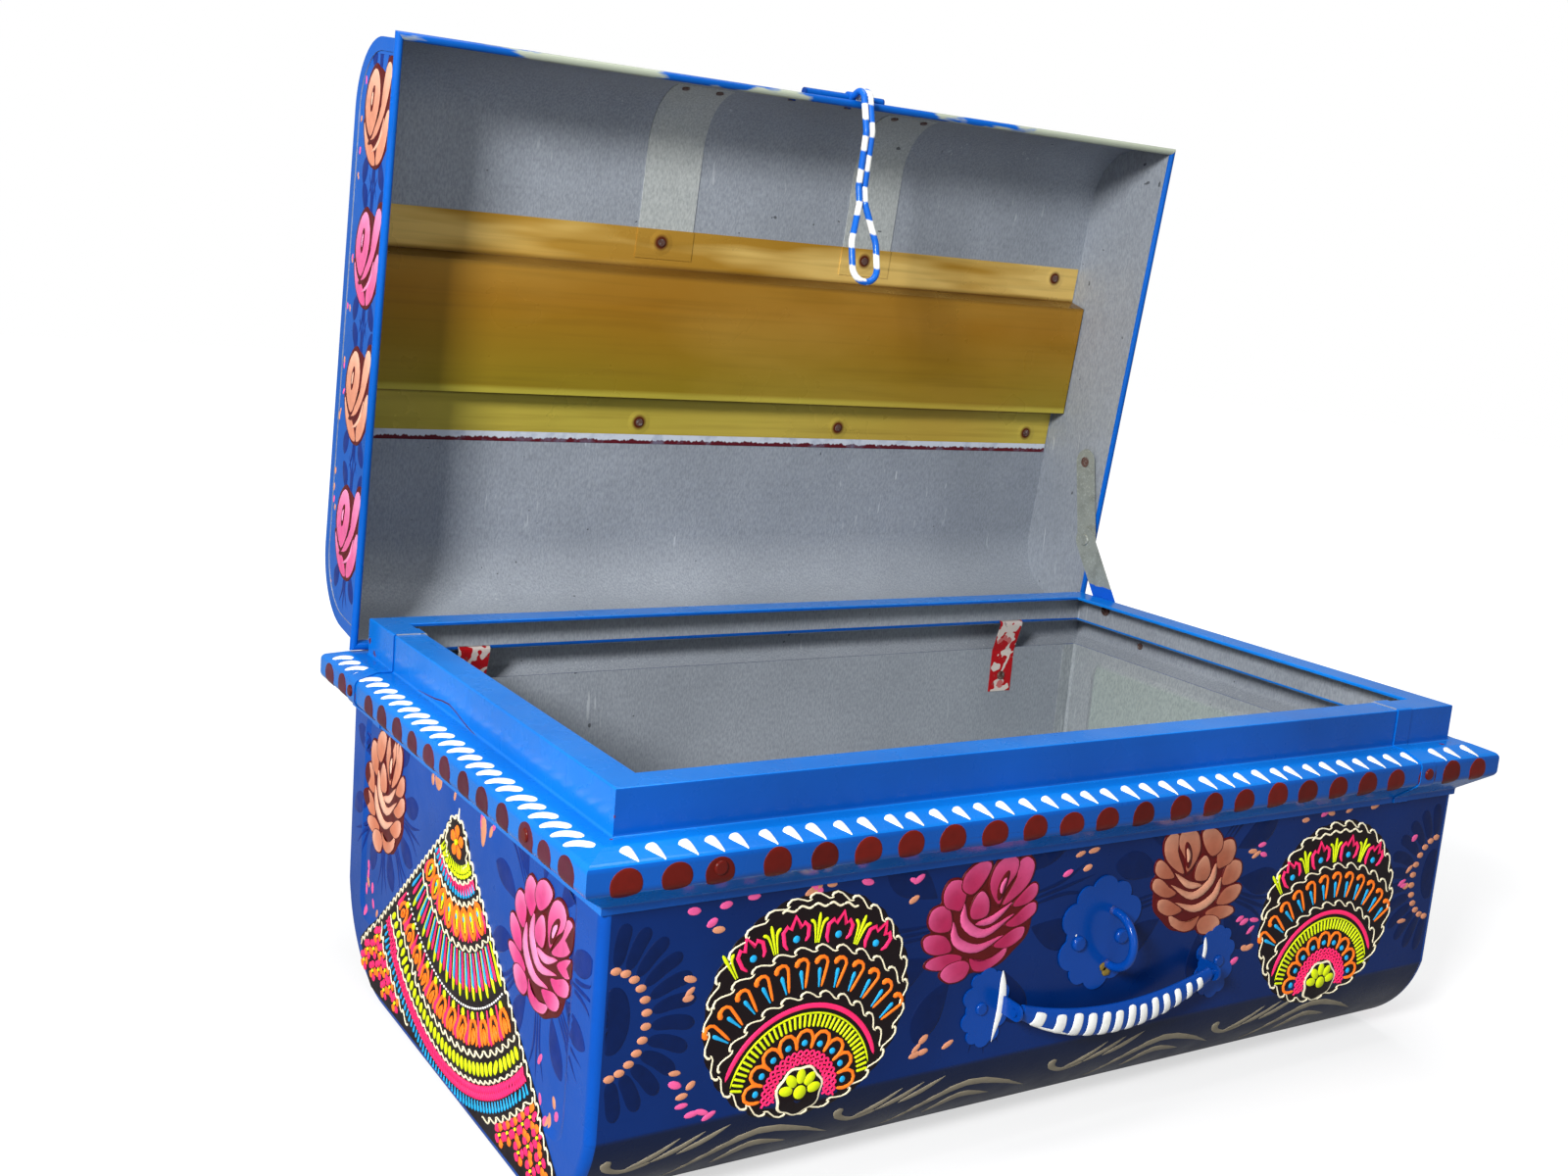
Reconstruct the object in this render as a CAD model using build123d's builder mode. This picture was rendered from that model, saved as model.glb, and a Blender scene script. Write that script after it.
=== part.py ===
from build123d import *
import os
from math import asin, atan2, cos, degrees, hypot, radians, sin, sqrt

# Painted sheet-steel trunk with a domed lid.  Millimetres, +X along the length, +Y to the back,
# +Z up, origin at the centre of the flat bottom.  The lid is modelled open, held by its stay.

# ---- body shell ----
body_length = 610.0
body_depth = 373.0
ledge_height = 211.0        # bottom to the ledge that the lid closes on
body_sheet = 0.8
crease_height = 60.0        # where the front and back walls turn into the lower curve
curve_radius = 75.0         # lower curve, tangent to the bottom
wall_top_drop = 22.0        # top edge of the walls below the ledge, inside the rim
corner_width = 5.0          # width of the end pan's rounded corner
corner_round = 4.5
end_flange = 8.0
flange_grip = 2.0           # how far the tucked flange reaches under the rounded corner
emboss_side_margin = 26.0
emboss_bottom = 44.0
emboss_top_drop = 30.0
emboss_height = 1.6
emboss_bevel = 5.0
emboss_corner = 14.0

# ---- rim: rolled moulding below, collar above ----
rim_sheet = 0.8
collar_inset = 6.0
collar_height = 23.5
collar_flange = 20.0
hem_height = 2.0
rim_bend = 1.0
foot_bend = 1.5
ledge_reach = 4.0
moulding_reach = 17.4
crest_drop = 4.6
crest_bend = 4.0
face_drop = 18.0
face_bend = 5.0
under_drop = 31.0
under_bend = 2.0
lip_height = 4.0
lap_width = 12.0
lap_step = 1.0
lap_gap = 0.05
front_lap_inset = 48.0      # front lap, from the right wall
left_lap_inset = 44.0       # left lap, from the back wall
cleat_length = 56.0
cleat_height = 7.0
rim_rivet_drop = 11.5
rim_rivet_inset = 51.0
lap_rivet_offset = 5.0
hinge_side_rivet = 17.0     # rim rivet beside each hinge strap
right_rivet_y = 127.0

# ---- lid ----
lid_open_angle = 83.3
lid_sheet = 0.7
lid_height = 80.0           # bottom of the wired edge to the crown
lid_corner_radius = 45.0
lid_gap = 4.9               # collar to lid wall, front and back
lid_end_gap = 4.9           # collar to lid end, room for the folding stay
ledge_gap = 1.0             # ledge to the wired edge of the closed lid, clear of the laps
bead_radius = 2.5
wire_radius = 1.7
bead_opening = 70.0         # part of the curl left open, degrees
band_width = 8.0            # wrap folded over the lid ends
band_start = 4.5

# ---- hinges ----
hinge_offset = 228.0
strap_width = 22.0
strap_sheet = 0.5
strap_tail = 58.0           # lower end of the strap below the ledge
strap_lean_drop = 24.0      # where the strap leaves the wall
strap_inner_gap = 0.85      # strap to the inside of the collar
strap_wrap = 300.0          # degrees round the wire
strap_bend = 1.6
hinge_clearance = 0.08
notch_clearance = 1.5
notch_depth = 3.2
slot_clearance = 0.6
slot_rise = 1.9
slot_start = 0.3
hinge_rivet_drop = 45.0

# ---- folding stay on the right end ----
stay_link_width = 21.0
stay_link_sheet = 1.0
stay_collar_gap = 0.5
stay_link_gap = 0.7
stay_pivot_back = 39.8      # collar pivot, from the back wall
stay_pivot_rise = 14.7      # collar pivot above the ledge
stay_lid_forward = 123.8    # lid pivot ahead of the hinge axis
stay_lid_rise = 21.9        # lid pivot above the hinge axis
stay_lower_length = 63.2
stay_upper_length = 63.8
stay_pin_radius = 2.5
stay_pin_clearance = 0.08
stay_head = 4.2
stay_dome = 1.1
stay_shoulder = 4.0
stay_play = 0.1             # between a rivet's shoulder or head and the link it holds
knee_head = 4.6
knee_dome = 1.2
knee_half = 0.32            # half washer on each link at the knee

# ---- channel and stiffening straps inside the lid ----
channel_back = 125.5        # ahead of the hinge axis
channel_setback = 101.0     # front edge behind the lid's front wall
channel_flange = 27.0
channel_depth = 16.0
channel_slope = 3.0
channel_sheet = 0.5
channel_end_gap = 1.5
channel_rivet_inset = 9.0
channel_rivet_x = (-286.0, -83.0, 90.0, 279.0)
backing_width = 7.0
backing_sheet = 0.4
stiffener_sheet = 0.7
stiffener_width = 43.0
stiffener_left_x = -80.0
stiffener_right_x = 91.0
stiffener_overlap = 20.0
stiffener_gap = 0.2
stiffener_end = 42.5        # free end of the strap above the hinge axis
stiffener_rivet_rise = 48.0
stiffener_rivet_spread = 13.0

# ---- hasp bracket, pin and hasp ----
hasp_x = 15.0
bracket_x = 7.5
bracket_width = 62.0
bracket_sheet = 0.7
bracket_top = 46.0
bracket_bottom = 15.0
bracket_rivet_pitch = 46.0
bracket_rivet_rise = 38.5
barrel_rise = 9.5           # barrel axis above the wired edge's centre
barrel_stand = 5.1          # barrel axis off the lid's front wall
barrel_sheet = 0.7
web_angle = 70.0
web_height = 5.5
pin_radius = 2.1
pin_clearance = 0.08
pin_overhang = 1.2
pin_head = 2.8
pin_head_length = 1.0
pin_head_gap = 0.2
hasp_wire = 4.5
hasp_eye_sheet = 2.2
hasp_eye_gap = 0.6
hasp_eye_margin = 0.1
hasp_neck_gap = 0.2
hasp_start = 3.0
hasp_spread = 10.0          # half width of the loop, centre to centre
hasp_reach = 129.0          # pivot to the bottom of the loop
hasp_shoulder_rise = 2.8
hasp_bend = 7.0
hasp_join = 6.0             # neck wires run on past the split into the loop
hasp_out = 17.4             # how far it stands out to pass the moulding
hasp_out_drop = 28.0
hasp_split = 62.0
hasp_split_out = 5.0
hasp_tip_out = 3.0
hasp_rest_turn = 68.5       # turn from its fastened place to its hanging place

# ---- staple ----
staple_rise = 1.5           # above the middle of the flat wall
staple_height = 37.0
staple_stand = 22.5
staple_wire = 5.0
staple_tail = 1.5
plate_sheet = 1.0
staple_plate_width = 58.0
staple_plate_height = 68.0
staple_plate_x = 7.5
staple_plate_rise = 5.0
staple_rivet_spread = 16.0
staple_rivet_rise = 1.0
staple_rivet_head = 4.5
staple_rivet_dome = 2.25
lobe_share = 1 / 6          # radius of a plate's lobes, as a share of its width
lobe_overlap = 0.45         # plate's oval inside the lobes, as a share of their radius
side_lobe_pitch = 0.3       # share of the height
corner_lobe_pitch = 0.42    # share of the width
corner_lobe_inset = 2.6     # share of the lobe radius
corner_lobe_size = 0.8

# ---- carrying handle ----
handle_x = 16.25
handle_drop = 27.0          # pivot axis below the middle of the flat wall
handle_span = 147.5         # between the ears
handle_stand = 12.0         # pivot axis off the wall
handle_bow = 15.5
handle_end_gap = 2.6
grip_height = 17.5
grip_end_height = 8.0
grip_thickness = 7.0
grip_end_thickness = 5.4
ear_sheet = 1.6
ear_round = 5.0
trunnion_radius = 2.2
trunnion_clearance = 0.1
trunnion_end = 1.4
handle_plate_width = 31.0
handle_plate_height = 46.0
handle_plate_reach = 2.5    # plate edge past the ear, towards the grip
handle_rivet_inset = 14.5
handle_lobe_share = 2 / 11

# ---- rivets ----
rivet_shank = 1.5
rivet_head = 3.6
rivet_dome = 1.4
dome_round = 0.75           # rounding of a head's edge, as a share of its dome
rivet_tail = 2.6
rivet_tail_height = 0.9
shank_clearance = 0.1
curved_grip_extra = 0.12

# ---- derived places ----
half_length = body_length / 2
half_depth = body_depth / 2
collar_x = half_length - collar_inset
collar_y = half_depth - collar_inset
curve_run = sqrt(2 * curve_radius * crease_height - crease_height ** 2)
curve_centre = half_depth - curve_run
wall_top = ledge_height - wall_top_drop
wrap_end = half_length - corner_width
wall_middle = (crease_height + ledge_height - under_drop - lip_height) / 2   # of the wall seen below the rim
staple_z = wall_middle + staple_rise
staple_plate_z = wall_middle + staple_plate_rise
staple_rivet_z = wall_middle + staple_rivet_rise
handle_z = wall_middle - handle_drop
hinge_y = collar_y + lid_gap + bead_radius
hinge_z = ledge_height + ledge_gap + bead_radius
lid_span = 2 * hinge_y                       # back wire centre to front wire centre
lid_end_x = collar_x + lid_end_gap           # inner face of the lid ends
lid_wire_x = lid_end_x + bead_radius
wall_offset = bead_radius - lid_sheet        # wire centre to the outer face of the lid wall
lid_crown = lid_height - bead_radius         # outside of the crown above the hinge axis
lid_front = -lid_span + wall_offset          # outer face of the lid's front wall
barrel_y = lid_front - barrel_stand
channel_front = -lid_front - channel_setback # ahead of the hinge axis
shank_hole = rivet_shank + shank_clearance
lid_lean = radians(lid_open_angle)
lid_frame = Plane(
    origin=(0, hinge_y, hinge_z),
    x_dir=(1, 0, 0),
    z_dir=(0, sin(lid_lean), cos(lid_lean)),
)


def lid_point(x, y, z):
    """A point given in the closed lid's own axes, from the hinge axis."""
    return lid_frame.from_local_coords(Vector(x, y, z))


def lid_section(x):
    """Plane across the lid: local x runs to the back, local y to the crown."""
    return Plane(origin=lid_point(x, 0, 0), x_dir=lid_frame.y_dir, z_dir=lid_frame.x_dir)


def lid_level(z):
    """Plane parallel to the lid's opening."""
    return Plane(origin=lid_point(0, 0, z), x_dir=lid_frame.x_dir, z_dir=lid_frame.z_dir)


def lid_front_plane(x, z):
    """Plane on the outside of the lid's front wall or front curve, facing out."""
    level = lid_crown - lid_corner_radius
    tilt = asin((z - level) / lid_corner_radius) if z > level else 0.0
    y = lid_front + lid_corner_radius * (1 - cos(tilt))
    outward = lid_frame.y_dir * -cos(tilt) + lid_frame.z_dir * sin(tilt)
    return Plane(origin=lid_point(x, y, z), x_dir=(1, 0, 0), z_dir=outward)


def wall_plane(x, y, z, outward):
    """Upright plane at a point, facing out."""
    return Plane(origin=(x, y, z), x_dir=(-outward[1], outward[0], 0), z_dir=outward)


def disc(plane, radius):
    with BuildSketch(plane) as face:
        Circle(radius)
    return face.sketch


def block(plane, width, height):
    with BuildSketch(plane) as face:
        Rectangle(width, height)
    return face.sketch


def punch(planes, radius, reach=4.0):
    """Round holes through the part being built, both ways from each plane."""
    for plane in planes:
        extrude(disc(plane, radius), amount=reach, both=True, mode=Mode.SUBTRACT)


def lid_block(x_range, y_range, z_range, mode=Mode.ADD):
    """Box given in the closed lid's own axes, for the part being built."""
    middle = (x_range[0] + x_range[1]) / 2, (y_range[0] + y_range[1]) / 2
    base = Plane(
        origin=lid_point(middle[0], middle[1], z_range[0]),
        x_dir=lid_frame.x_dir,
        z_dir=lid_frame.z_dir,
    )
    face = block(base, x_range[1] - x_range[0], y_range[1] - y_range[0])
    extrude(face, amount=z_range[1] - z_range[0], mode=mode)


def rivet(plane, grip, head=rivet_head, dome=rivet_dome, shank=rivet_shank):
    """Domed head outside on the plane, shank through the grip, flat tail behind it."""
    with BuildPart() as piece:
        extrude(disc(plane, head), amount=dome)
        crown = piece.edges().sort_by(Axis(plane.origin, plane.z_dir))[-1]
        fillet(crown, dome * dome_round)
        extrude(disc(plane, shank), amount=-grip)
        extrude(disc(plane.offset(-grip), rivet_tail), amount=-rivet_tail_height)
    return piece.part


def save(piece, name):
    piece.label = name
    export_step(piece, f"parts/{name}.step")


os.makedirs("parts", exist_ok=True)


# ================= body shell =================
def body_outline(inset, top, x):
    """Closed outline across the body, pulled in by the inset, up to the given height."""
    side = half_depth - inset
    radius = curve_radius - inset
    crease = curve_radius - sqrt(radius ** 2 - (side - curve_centre) ** 2)
    middle = (asin((curve_radius - crease) / radius) + radians(90)) / 2
    mid_y = curve_centre + radius * cos(middle)
    mid_z = curve_radius - radius * sin(middle)
    with BuildSketch(Plane.YZ.offset(x)) as face:
        with BuildLine():
            Polyline((-side, crease), (-side, top), (side, top), (side, crease))
            ThreePointArc((side, crease), (mid_y, mid_z), (curve_centre, inset))
            Line((curve_centre, inset), (-curve_centre, inset))
            ThreePointArc((-curve_centre, inset), (-mid_y, mid_z), (-side, crease))
        make_face()
    return face.sketch


def rounded_end(inset, top):
    """Solid slab whose outer edges are rounded, all but the one along the top."""
    with BuildPart() as slab:
        extrude(body_outline(inset, top, wrap_end), amount=corner_width - inset)
        outer = slab.faces().sort_by(Axis.X)[-1]
        fillet(outer.edges().sort_by(Axis.Z)[:-1], corner_round - inset)
    return slab.part


def emboss(start):
    """Bevelled field pressed into the end pan, growing inward from the given place."""
    width = body_depth - 2 * emboss_side_margin
    top = ledge_height - emboss_top_drop
    middle = (top + emboss_bottom) / 2
    height = top - emboss_bottom
    with BuildPart() as field:
        with BuildSketch(Plane.YZ.offset(start)):
            with Locations((0, middle)):
                RectangleRounded(width, height, emboss_corner)
        with BuildSketch(Plane.YZ.offset(start - emboss_height)):
            with Locations((0, middle)):
                shrink = 2 * emboss_bevel
                RectangleRounded(width - shrink, height - shrink, emboss_corner - emboss_bevel)
        loft(ruled=True)
    return field.part


front_y = -half_depth
staple_leg = staple_height / 2 - staple_wire / 2
plate_face_y = front_y - plate_sheet
staple_legs = [
    wall_plane(hasp_x, front_y, staple_z + side * staple_leg, (0, -1, 0))
    for side in (-1, 1)
]
staple_rivet_planes = [
    wall_plane(staple_plate_x + side * staple_rivet_spread, plate_face_y, staple_rivet_z, (0, -1, 0))
    for side in (-1, 1)
]
handle_rivet_planes = [
    wall_plane(
        handle_x + side * (handle_span / 2 + ear_sheet + handle_rivet_inset),
        plate_face_y,
        handle_z,
        (0, -1, 0),
    )
    for side in (-1, 1)
]
strap_inside_y = half_depth - body_sheet - strap_sheet
hinge_rivet_planes = [
    wall_plane(side * hinge_offset, strap_inside_y, ledge_height - hinge_rivet_drop, (0, -1, 0))
    for side in (-1, 1)
]

with BuildPart() as body_wrap:
    extrude(body_outline(0, wall_top, 0), amount=wrap_end, both=True)
    extrude(body_outline(body_sheet, wall_top + 1, 0), amount=wrap_end, both=True, mode=Mode.SUBTRACT)
    punch(staple_legs, staple_wire / 2 + shank_clearance)
    punch(staple_rivet_planes + handle_rivet_planes + hinge_rivet_planes, shank_hole)
save(body_wrap.part, "body_wrap")

end_skin = rounded_end(0, wall_top)
end_core = rounded_end(body_sheet, wall_top + 1)
emboss_inside = emboss(half_length - body_sheet)
emboss_outside = emboss(half_length)
with BuildPart() as body_end_right:
    add(end_skin)
    add(end_core, mode=Mode.SUBTRACT)
    add(emboss_inside)
    add(emboss_outside, mode=Mode.SUBTRACT)
    extrude(body_outline(body_sheet, wall_top, wrap_end - end_flange), amount=end_flange + flange_grip)
    extrude(
        body_outline(2 * body_sheet, wall_top + 1, wrap_end - end_flange),
        amount=end_flange + flange_grip,
        mode=Mode.SUBTRACT,
    )
save(body_end_right.part, "body_end_right")

with BuildPart() as body_end_left:
    mirror(body_end_right.part, about=Plane.YZ)
save(body_end_left.part, "body_end_left")


# ================= rim =================
def rim_side(plane, amount, side):
    """Region between the rim's outer line and a line beside it."""
    with BuildSketch(plane) as face:
        with BuildLine():
            FilletPolyline(
                (-collar_inset - collar_flange, collar_height - hem_height),
                (-collar_inset - collar_flange, collar_height),
                (-collar_inset, collar_height),
                (-collar_inset, 0),
                (ledge_reach, 0),
                (moulding_reach, -crest_drop),
                (moulding_reach, -face_drop),
                (rim_sheet, -under_drop),
                (rim_sheet, -under_drop - lip_height),
                radius=(rim_bend, rim_bend, foot_bend, crest_bend, crest_bend, face_bend, under_bend),
            )
            offset(amount=amount, side=side)
        make_face()
    return face.sketch


def rim_plane(x, y, outward):
    """Section plane of the rim: local x points outward, local y up."""
    return Plane(origin=(x, y, ledge_height), x_dir=outward, z_dir=(outward[1], -outward[0], 0))


def add_cover(plane, reach):
    """Raised end of a strip that laps over its neighbour, from the step at the plane."""
    outside = lap_gap + rim_sheet
    direction = 1 if reach > 0 else -1
    extrude(rim_side(plane, outside, Side.LEFT), amount=reach)
    extrude(rim_side(plane, lap_gap, Side.LEFT), amount=reach, mode=Mode.SUBTRACT)
    extrude(rim_side(plane, outside, Side.LEFT), amount=-direction * lap_step)


seam_front = half_length - front_lap_inset
seam_left = half_depth - left_lap_inset
lap_face = moulding_reach + lap_gap + rim_sheet
rivet_level = ledge_height - rim_rivet_drop
slot_low = ledge_height + slot_start
slot_base = Plane(origin=(0, collar_y, slot_low), x_dir=(1, 0, 0), z_dir=(0, 0, 1))

corner_rivet_planes = [
    wall_plane(-half_length + rim_rivet_inset, -half_depth - moulding_reach, rivet_level, (0, -1, 0)),
    wall_plane(-half_length - moulding_reach, -half_depth + rim_rivet_inset, rivet_level, (-1, 0, 0)),
]
lap_rivet_planes = [
    wall_plane(seam_front - lap_rivet_offset, -half_depth - lap_face, rivet_level, (0, -1, 0)),
    wall_plane(-half_length - lap_face, seam_left - lap_rivet_offset, rivet_level, (-1, 0, 0)),
]
single_rivet_planes = [
    wall_plane(half_length + moulding_reach, right_rivet_y, rivet_level, (1, 0, 0)),
    wall_plane(hinge_offset + hinge_side_rivet, half_depth + moulding_reach, rivet_level, (0, 1, 0)),
    wall_plane(-hinge_offset - hinge_side_rivet, half_depth + moulding_reach, rivet_level, (0, 1, 0)),
]
stay_pivot_y = half_depth - stay_pivot_back
stay_pivot_z = ledge_height + stay_pivot_rise
stay_pivot_plane = wall_plane(collar_x, stay_pivot_y, stay_pivot_z, (1, 0, 0))

with BuildPart() as rim_strip_front_left:
    with BuildLine() as front_left_path:
        Polyline(
            (-half_length, seam_left, ledge_height),
            (-half_length, -half_depth, ledge_height),
            (seam_front, -half_depth, ledge_height),
        )
    sweep(
        sections=rim_side(rim_plane(-half_length, seam_left, (-1, 0, 0)), rim_sheet, Side.RIGHT),
        path=front_left_path.line,
        transition=Transition.RIGHT,
    )
    punch(corner_rivet_planes + lap_rivet_planes, shank_hole)
save(rim_strip_front_left.part, "rim_strip_front_left")

with BuildPart() as rim_strip_back_right:
    with BuildLine() as back_right_path:
        Polyline(
            (seam_front, -half_depth, ledge_height),
            (half_length, -half_depth, ledge_height),
            (half_length, half_depth, ledge_height),
            (-half_length, half_depth, ledge_height),
            (-half_length, seam_left, ledge_height),
        )
    sweep(
        sections=rim_side(rim_plane(seam_front, -half_depth, (0, -1, 0)), rim_sheet, Side.RIGHT),
        path=back_right_path.line,
        transition=Transition.RIGHT,
    )
    add_cover(rim_plane(seam_front, -half_depth, (0, -1, 0)), lap_width)
    add_cover(rim_plane(-half_length, seam_left, (-1, 0, 0)), -lap_width)
    punch(lap_rivet_planes + single_rivet_planes, shank_hole)
    punch([stay_pivot_plane], stay_pin_radius + shank_clearance)
    for side in (-1, 1):
        slot_plane = slot_base.offset(0).move(Location((side * hinge_offset, 0, 0)))
        extrude(
            block(slot_plane, strap_width + 2 * slot_clearance, 2 * (rim_sheet + foot_bend)),
            amount=slot_rise,
            mode=Mode.SUBTRACT,
        )
save(rim_strip_back_right.part, "rim_strip_back_right")

cleat_face = moulding_reach - rim_sheet
with BuildPart() as rim_corner_cleat:
    cleat_base = ledge_height - rim_rivet_drop - cleat_height / 2
    outer_x = half_length + cleat_face
    outer_y = half_depth + cleat_face
    with BuildSketch(Plane.XY.offset(cleat_base)):
        with BuildLine():
            Polyline(
                (-outer_x, -outer_y),
                (-half_length + cleat_length, -outer_y),
                (-half_length + cleat_length, -outer_y + rim_sheet),
                (-outer_x + rim_sheet, -outer_y + rim_sheet),
                (-outer_x + rim_sheet, -half_depth + cleat_length),
                (-outer_x, -half_depth + cleat_length),
                close=True,
            )
        make_face()
    extrude(amount=cleat_height)
    punch(corner_rivet_planes, shank_hole)
save(rim_corner_cleat.part, "rim_corner_cleat")

rim_studs = [rivet(plane, 2 * rim_sheet) for plane in corner_rivet_planes]
rim_studs += [rivet(plane, 2 * rim_sheet + lap_gap) for plane in lap_rivet_planes]
rim_studs += [rivet(plane, rim_sheet) for plane in single_rivet_planes]
with BuildPart() as rim_rivets:
    add(rim_studs)
save(rim_rivets.part, "rim_rivets")


# ================= staple =================
def scalloped(plane, width, height, lobe):
    """Plate outline with a rounded lobe at each corner, each side, the top and the bottom."""
    with BuildSketch(plane) as face:
        Ellipse(width / 2 - lobe * lobe_overlap, height / 2 - lobe * lobe_overlap)
        with Locations((0, height / 2 - lobe), (0, lobe - height / 2)):
            Circle(lobe)
        with GridLocations(width - 2 * lobe, height * side_lobe_pitch, 2, 2):
            Circle(lobe)
        with GridLocations(width * corner_lobe_pitch, height - corner_lobe_inset * lobe, 2, 2):
            Circle(lobe * corner_lobe_size)
    return face.sketch


with BuildPart() as staple_plate:
    extrude(
        scalloped(
            wall_plane(staple_plate_x, front_y, staple_plate_z, (0, -1, 0)),
            staple_plate_width,
            staple_plate_height,
            staple_plate_width * lobe_share,
        ),
        amount=plate_sheet,
    )
    punch(staple_legs, staple_wire / 2 + shank_clearance)
    punch(staple_rivet_planes, shank_hole)
save(staple_plate.part, "staple_plate")

staple_bend = staple_leg
staple_root = half_depth - body_sheet - staple_tail
staple_shoulder = half_depth + staple_stand - staple_wire / 2 - staple_bend
with BuildPart() as staple:
    with BuildLine(Plane.YZ.offset(hasp_x)) as staple_path:
        Line((-staple_root, staple_z - staple_leg), (-staple_shoulder, staple_z - staple_leg))
        ThreePointArc(
            (-staple_shoulder, staple_z - staple_leg),
            (-staple_shoulder - staple_bend, staple_z),
            (-staple_shoulder, staple_z + staple_leg),
        )
        Line((-staple_shoulder, staple_z + staple_leg), (-staple_root, staple_z + staple_leg))
    staple_start = wall_plane(hasp_x, -staple_root, staple_z - staple_leg, (0, -1, 0))
    sweep(sections=disc(staple_start, staple_wire / 2), path=staple_path.line)
save(staple.part, "staple")

staple_studs = [
    rivet(plane, plate_sheet + body_sheet, head=staple_rivet_head, dome=staple_rivet_dome)
    for plane in staple_rivet_planes
]
with BuildPart() as staple_plate_rivets:
    add(staple_studs)
save(staple_plate_rivets.part, "staple_plate_rivets")


# ================= handle =================
def handle_plate(side):
    """Plate with an upright ear for the bail, on one side of the handle."""
    ear_x = handle_x + side * (handle_span / 2 + ear_sheet / 2)
    inner_edge = handle_x + side * (handle_span / 2 - handle_plate_reach)
    centre_x = inner_edge + side * handle_plate_width / 2
    ear_plane = Plane(origin=(ear_x, front_y, handle_z), x_dir=(0, -1, 0), z_dir=(-1, 0, 0))
    with BuildPart() as piece:
        extrude(
            scalloped(
                wall_plane(centre_x, front_y, handle_z, (0, -1, 0)),
                handle_plate_width,
                handle_plate_height,
                handle_plate_width * handle_lobe_share,
            ),
            amount=plate_sheet,
        )
        with BuildSketch(ear_plane):
            with Locations((handle_stand / 2, 0)):
                Rectangle(handle_stand, 2 * ear_round)
            with Locations((handle_stand, 0)):
                Circle(ear_round)
        extrude(amount=ear_sheet / 2, both=True)
        with BuildSketch(ear_plane):
            with Locations((handle_stand, 0)):
                Circle(trunnion_radius + trunnion_clearance)
        extrude(amount=ear_sheet, both=True, mode=Mode.SUBTRACT)
        punch(handle_rivet_planes, shank_hole)
    return piece.part


save(handle_plate(-1), "handle_plate_left")
save(handle_plate(1), "handle_plate_right")

handle_studs = [rivet(plane, plate_sheet + body_sheet) for plane in handle_rivet_planes]
with BuildPart() as handle_plate_rivets:
    add(handle_studs)
save(handle_plate_rivets.part, "handle_plate_rivets")

bail_half = handle_span / 2 - handle_end_gap
bail_radius = (bail_half ** 2 + handle_bow ** 2) / (2 * handle_bow)
bail_sweep = asin(bail_half / bail_radius)
bail_y = front_y - handle_stand
grip_stations = (-1.0, -0.72, -0.4, 0.0, 0.4, 0.72, 1.0)
with BuildPart() as handle_bail:
    for station in grip_stations:
        angle = bail_sweep * station
        fullness = 1 - station ** 2
        centre = (
            handle_x + bail_radius * sin(angle),
            bail_y,
            handle_z - handle_bow + bail_radius * (1 - cos(angle)),
        )
        with BuildSketch(Plane(origin=centre, x_dir=(0, 1, 0), z_dir=(cos(angle), 0, sin(angle)))):
            Ellipse(
                (grip_end_thickness + (grip_thickness - grip_end_thickness) * fullness) / 2,
                (grip_end_height + (grip_height - grip_end_height) * fullness) / 2,
            )
    loft()
    for side in (-1, 1):
        inner = handle_x + side * (bail_half - 2)
        trunnion_plane = Plane(origin=(inner, bail_y, handle_z), x_dir=(0, 1, 0), z_dir=(side, 0, 0))
        length = handle_end_gap + 2 + ear_sheet + trunnion_end
        extrude(disc(trunnion_plane, trunnion_radius), amount=length)
save(handle_bail.part, "handle_bail")


# ================= lid shell =================
def lid_outline(inset, base, x):
    """Closed outline across the lid, pulled in by the inset, from the given base height."""
    back = -wall_offset - inset
    front = lid_front + inset
    crown = lid_crown - inset
    with BuildSketch(lid_section(x)) as face:
        with BuildLine():
            FilletPolyline(
                (back, base), (back, crown), (front, crown), (front, base), radius=lid_corner_radius - inset
            )
            Line((front, base), (back, base))
        make_face()
    return face.sketch


def mitre_wedge(along_x, side):
    """Trapezoid in plan that holds one run of the wired edge, cut at 45 degrees at both ends."""
    deep = lid_gap * 4
    out = 2 * bead_radius
    long_outer = (lid_wire_x if along_x else hinge_y) + out
    long_inner = (lid_wire_x if along_x else hinge_y) - deep
    level = hinge_y if along_x else lid_wire_x
    corners = [
        (-long_outer, level + out),
        (long_outer, level + out),
        (long_inner, level - deep),
        (-long_inner, level - deep),
    ]
    points = [(a, side * b - hinge_y) if along_x else (side * b, a - hinge_y) for a, b in corners]
    with BuildSketch(lid_level(-4 * bead_radius)) as face:
        with BuildLine():
            Polyline(*points, close=True)
        make_face()
    return face.sketch


def wired_edge(along_x):
    """Two opposite runs of the curl round the lid's edge, mitred at the corners."""
    runs = []
    wedge = radians(180 - bead_opening)
    for side in (-1, 1):
        if along_x:
            origin = lid_point(-lid_wire_x - 2 * bead_radius, (side - 1) * hinge_y, 0)
            plane = Plane(origin=origin, x_dir=lid_frame.y_dir * side, z_dir=lid_frame.x_dir * side)
            length = 2 * (lid_wire_x + 2 * bead_radius) * side
        else:
            origin = lid_point(side * lid_wire_x, 2 * bead_radius, 0)
            plane = Plane(origin=origin, x_dir=lid_frame.x_dir * side, z_dir=lid_frame.y_dir * -side)
            length = (lid_span + 4 * bead_radius) * side
        with BuildSketch(plane) as ring:
            Circle(bead_radius)
            Circle(bead_radius - lid_sheet, mode=Mode.SUBTRACT)
            with BuildLine():
                far = 2 * bead_radius
                Polyline((0, 0), (-far, 0), (-far, -far * sin(wedge) / cos(wedge)), close=True)
            make_face(mode=Mode.SUBTRACT)
        with BuildPart() as run:
            extrude(ring.sketch, amount=length)
            extrude(mitre_wedge(along_x, side), amount=8 * bead_radius, mode=Mode.INTERSECT)
        runs.append(run.part)
    return runs


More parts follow.
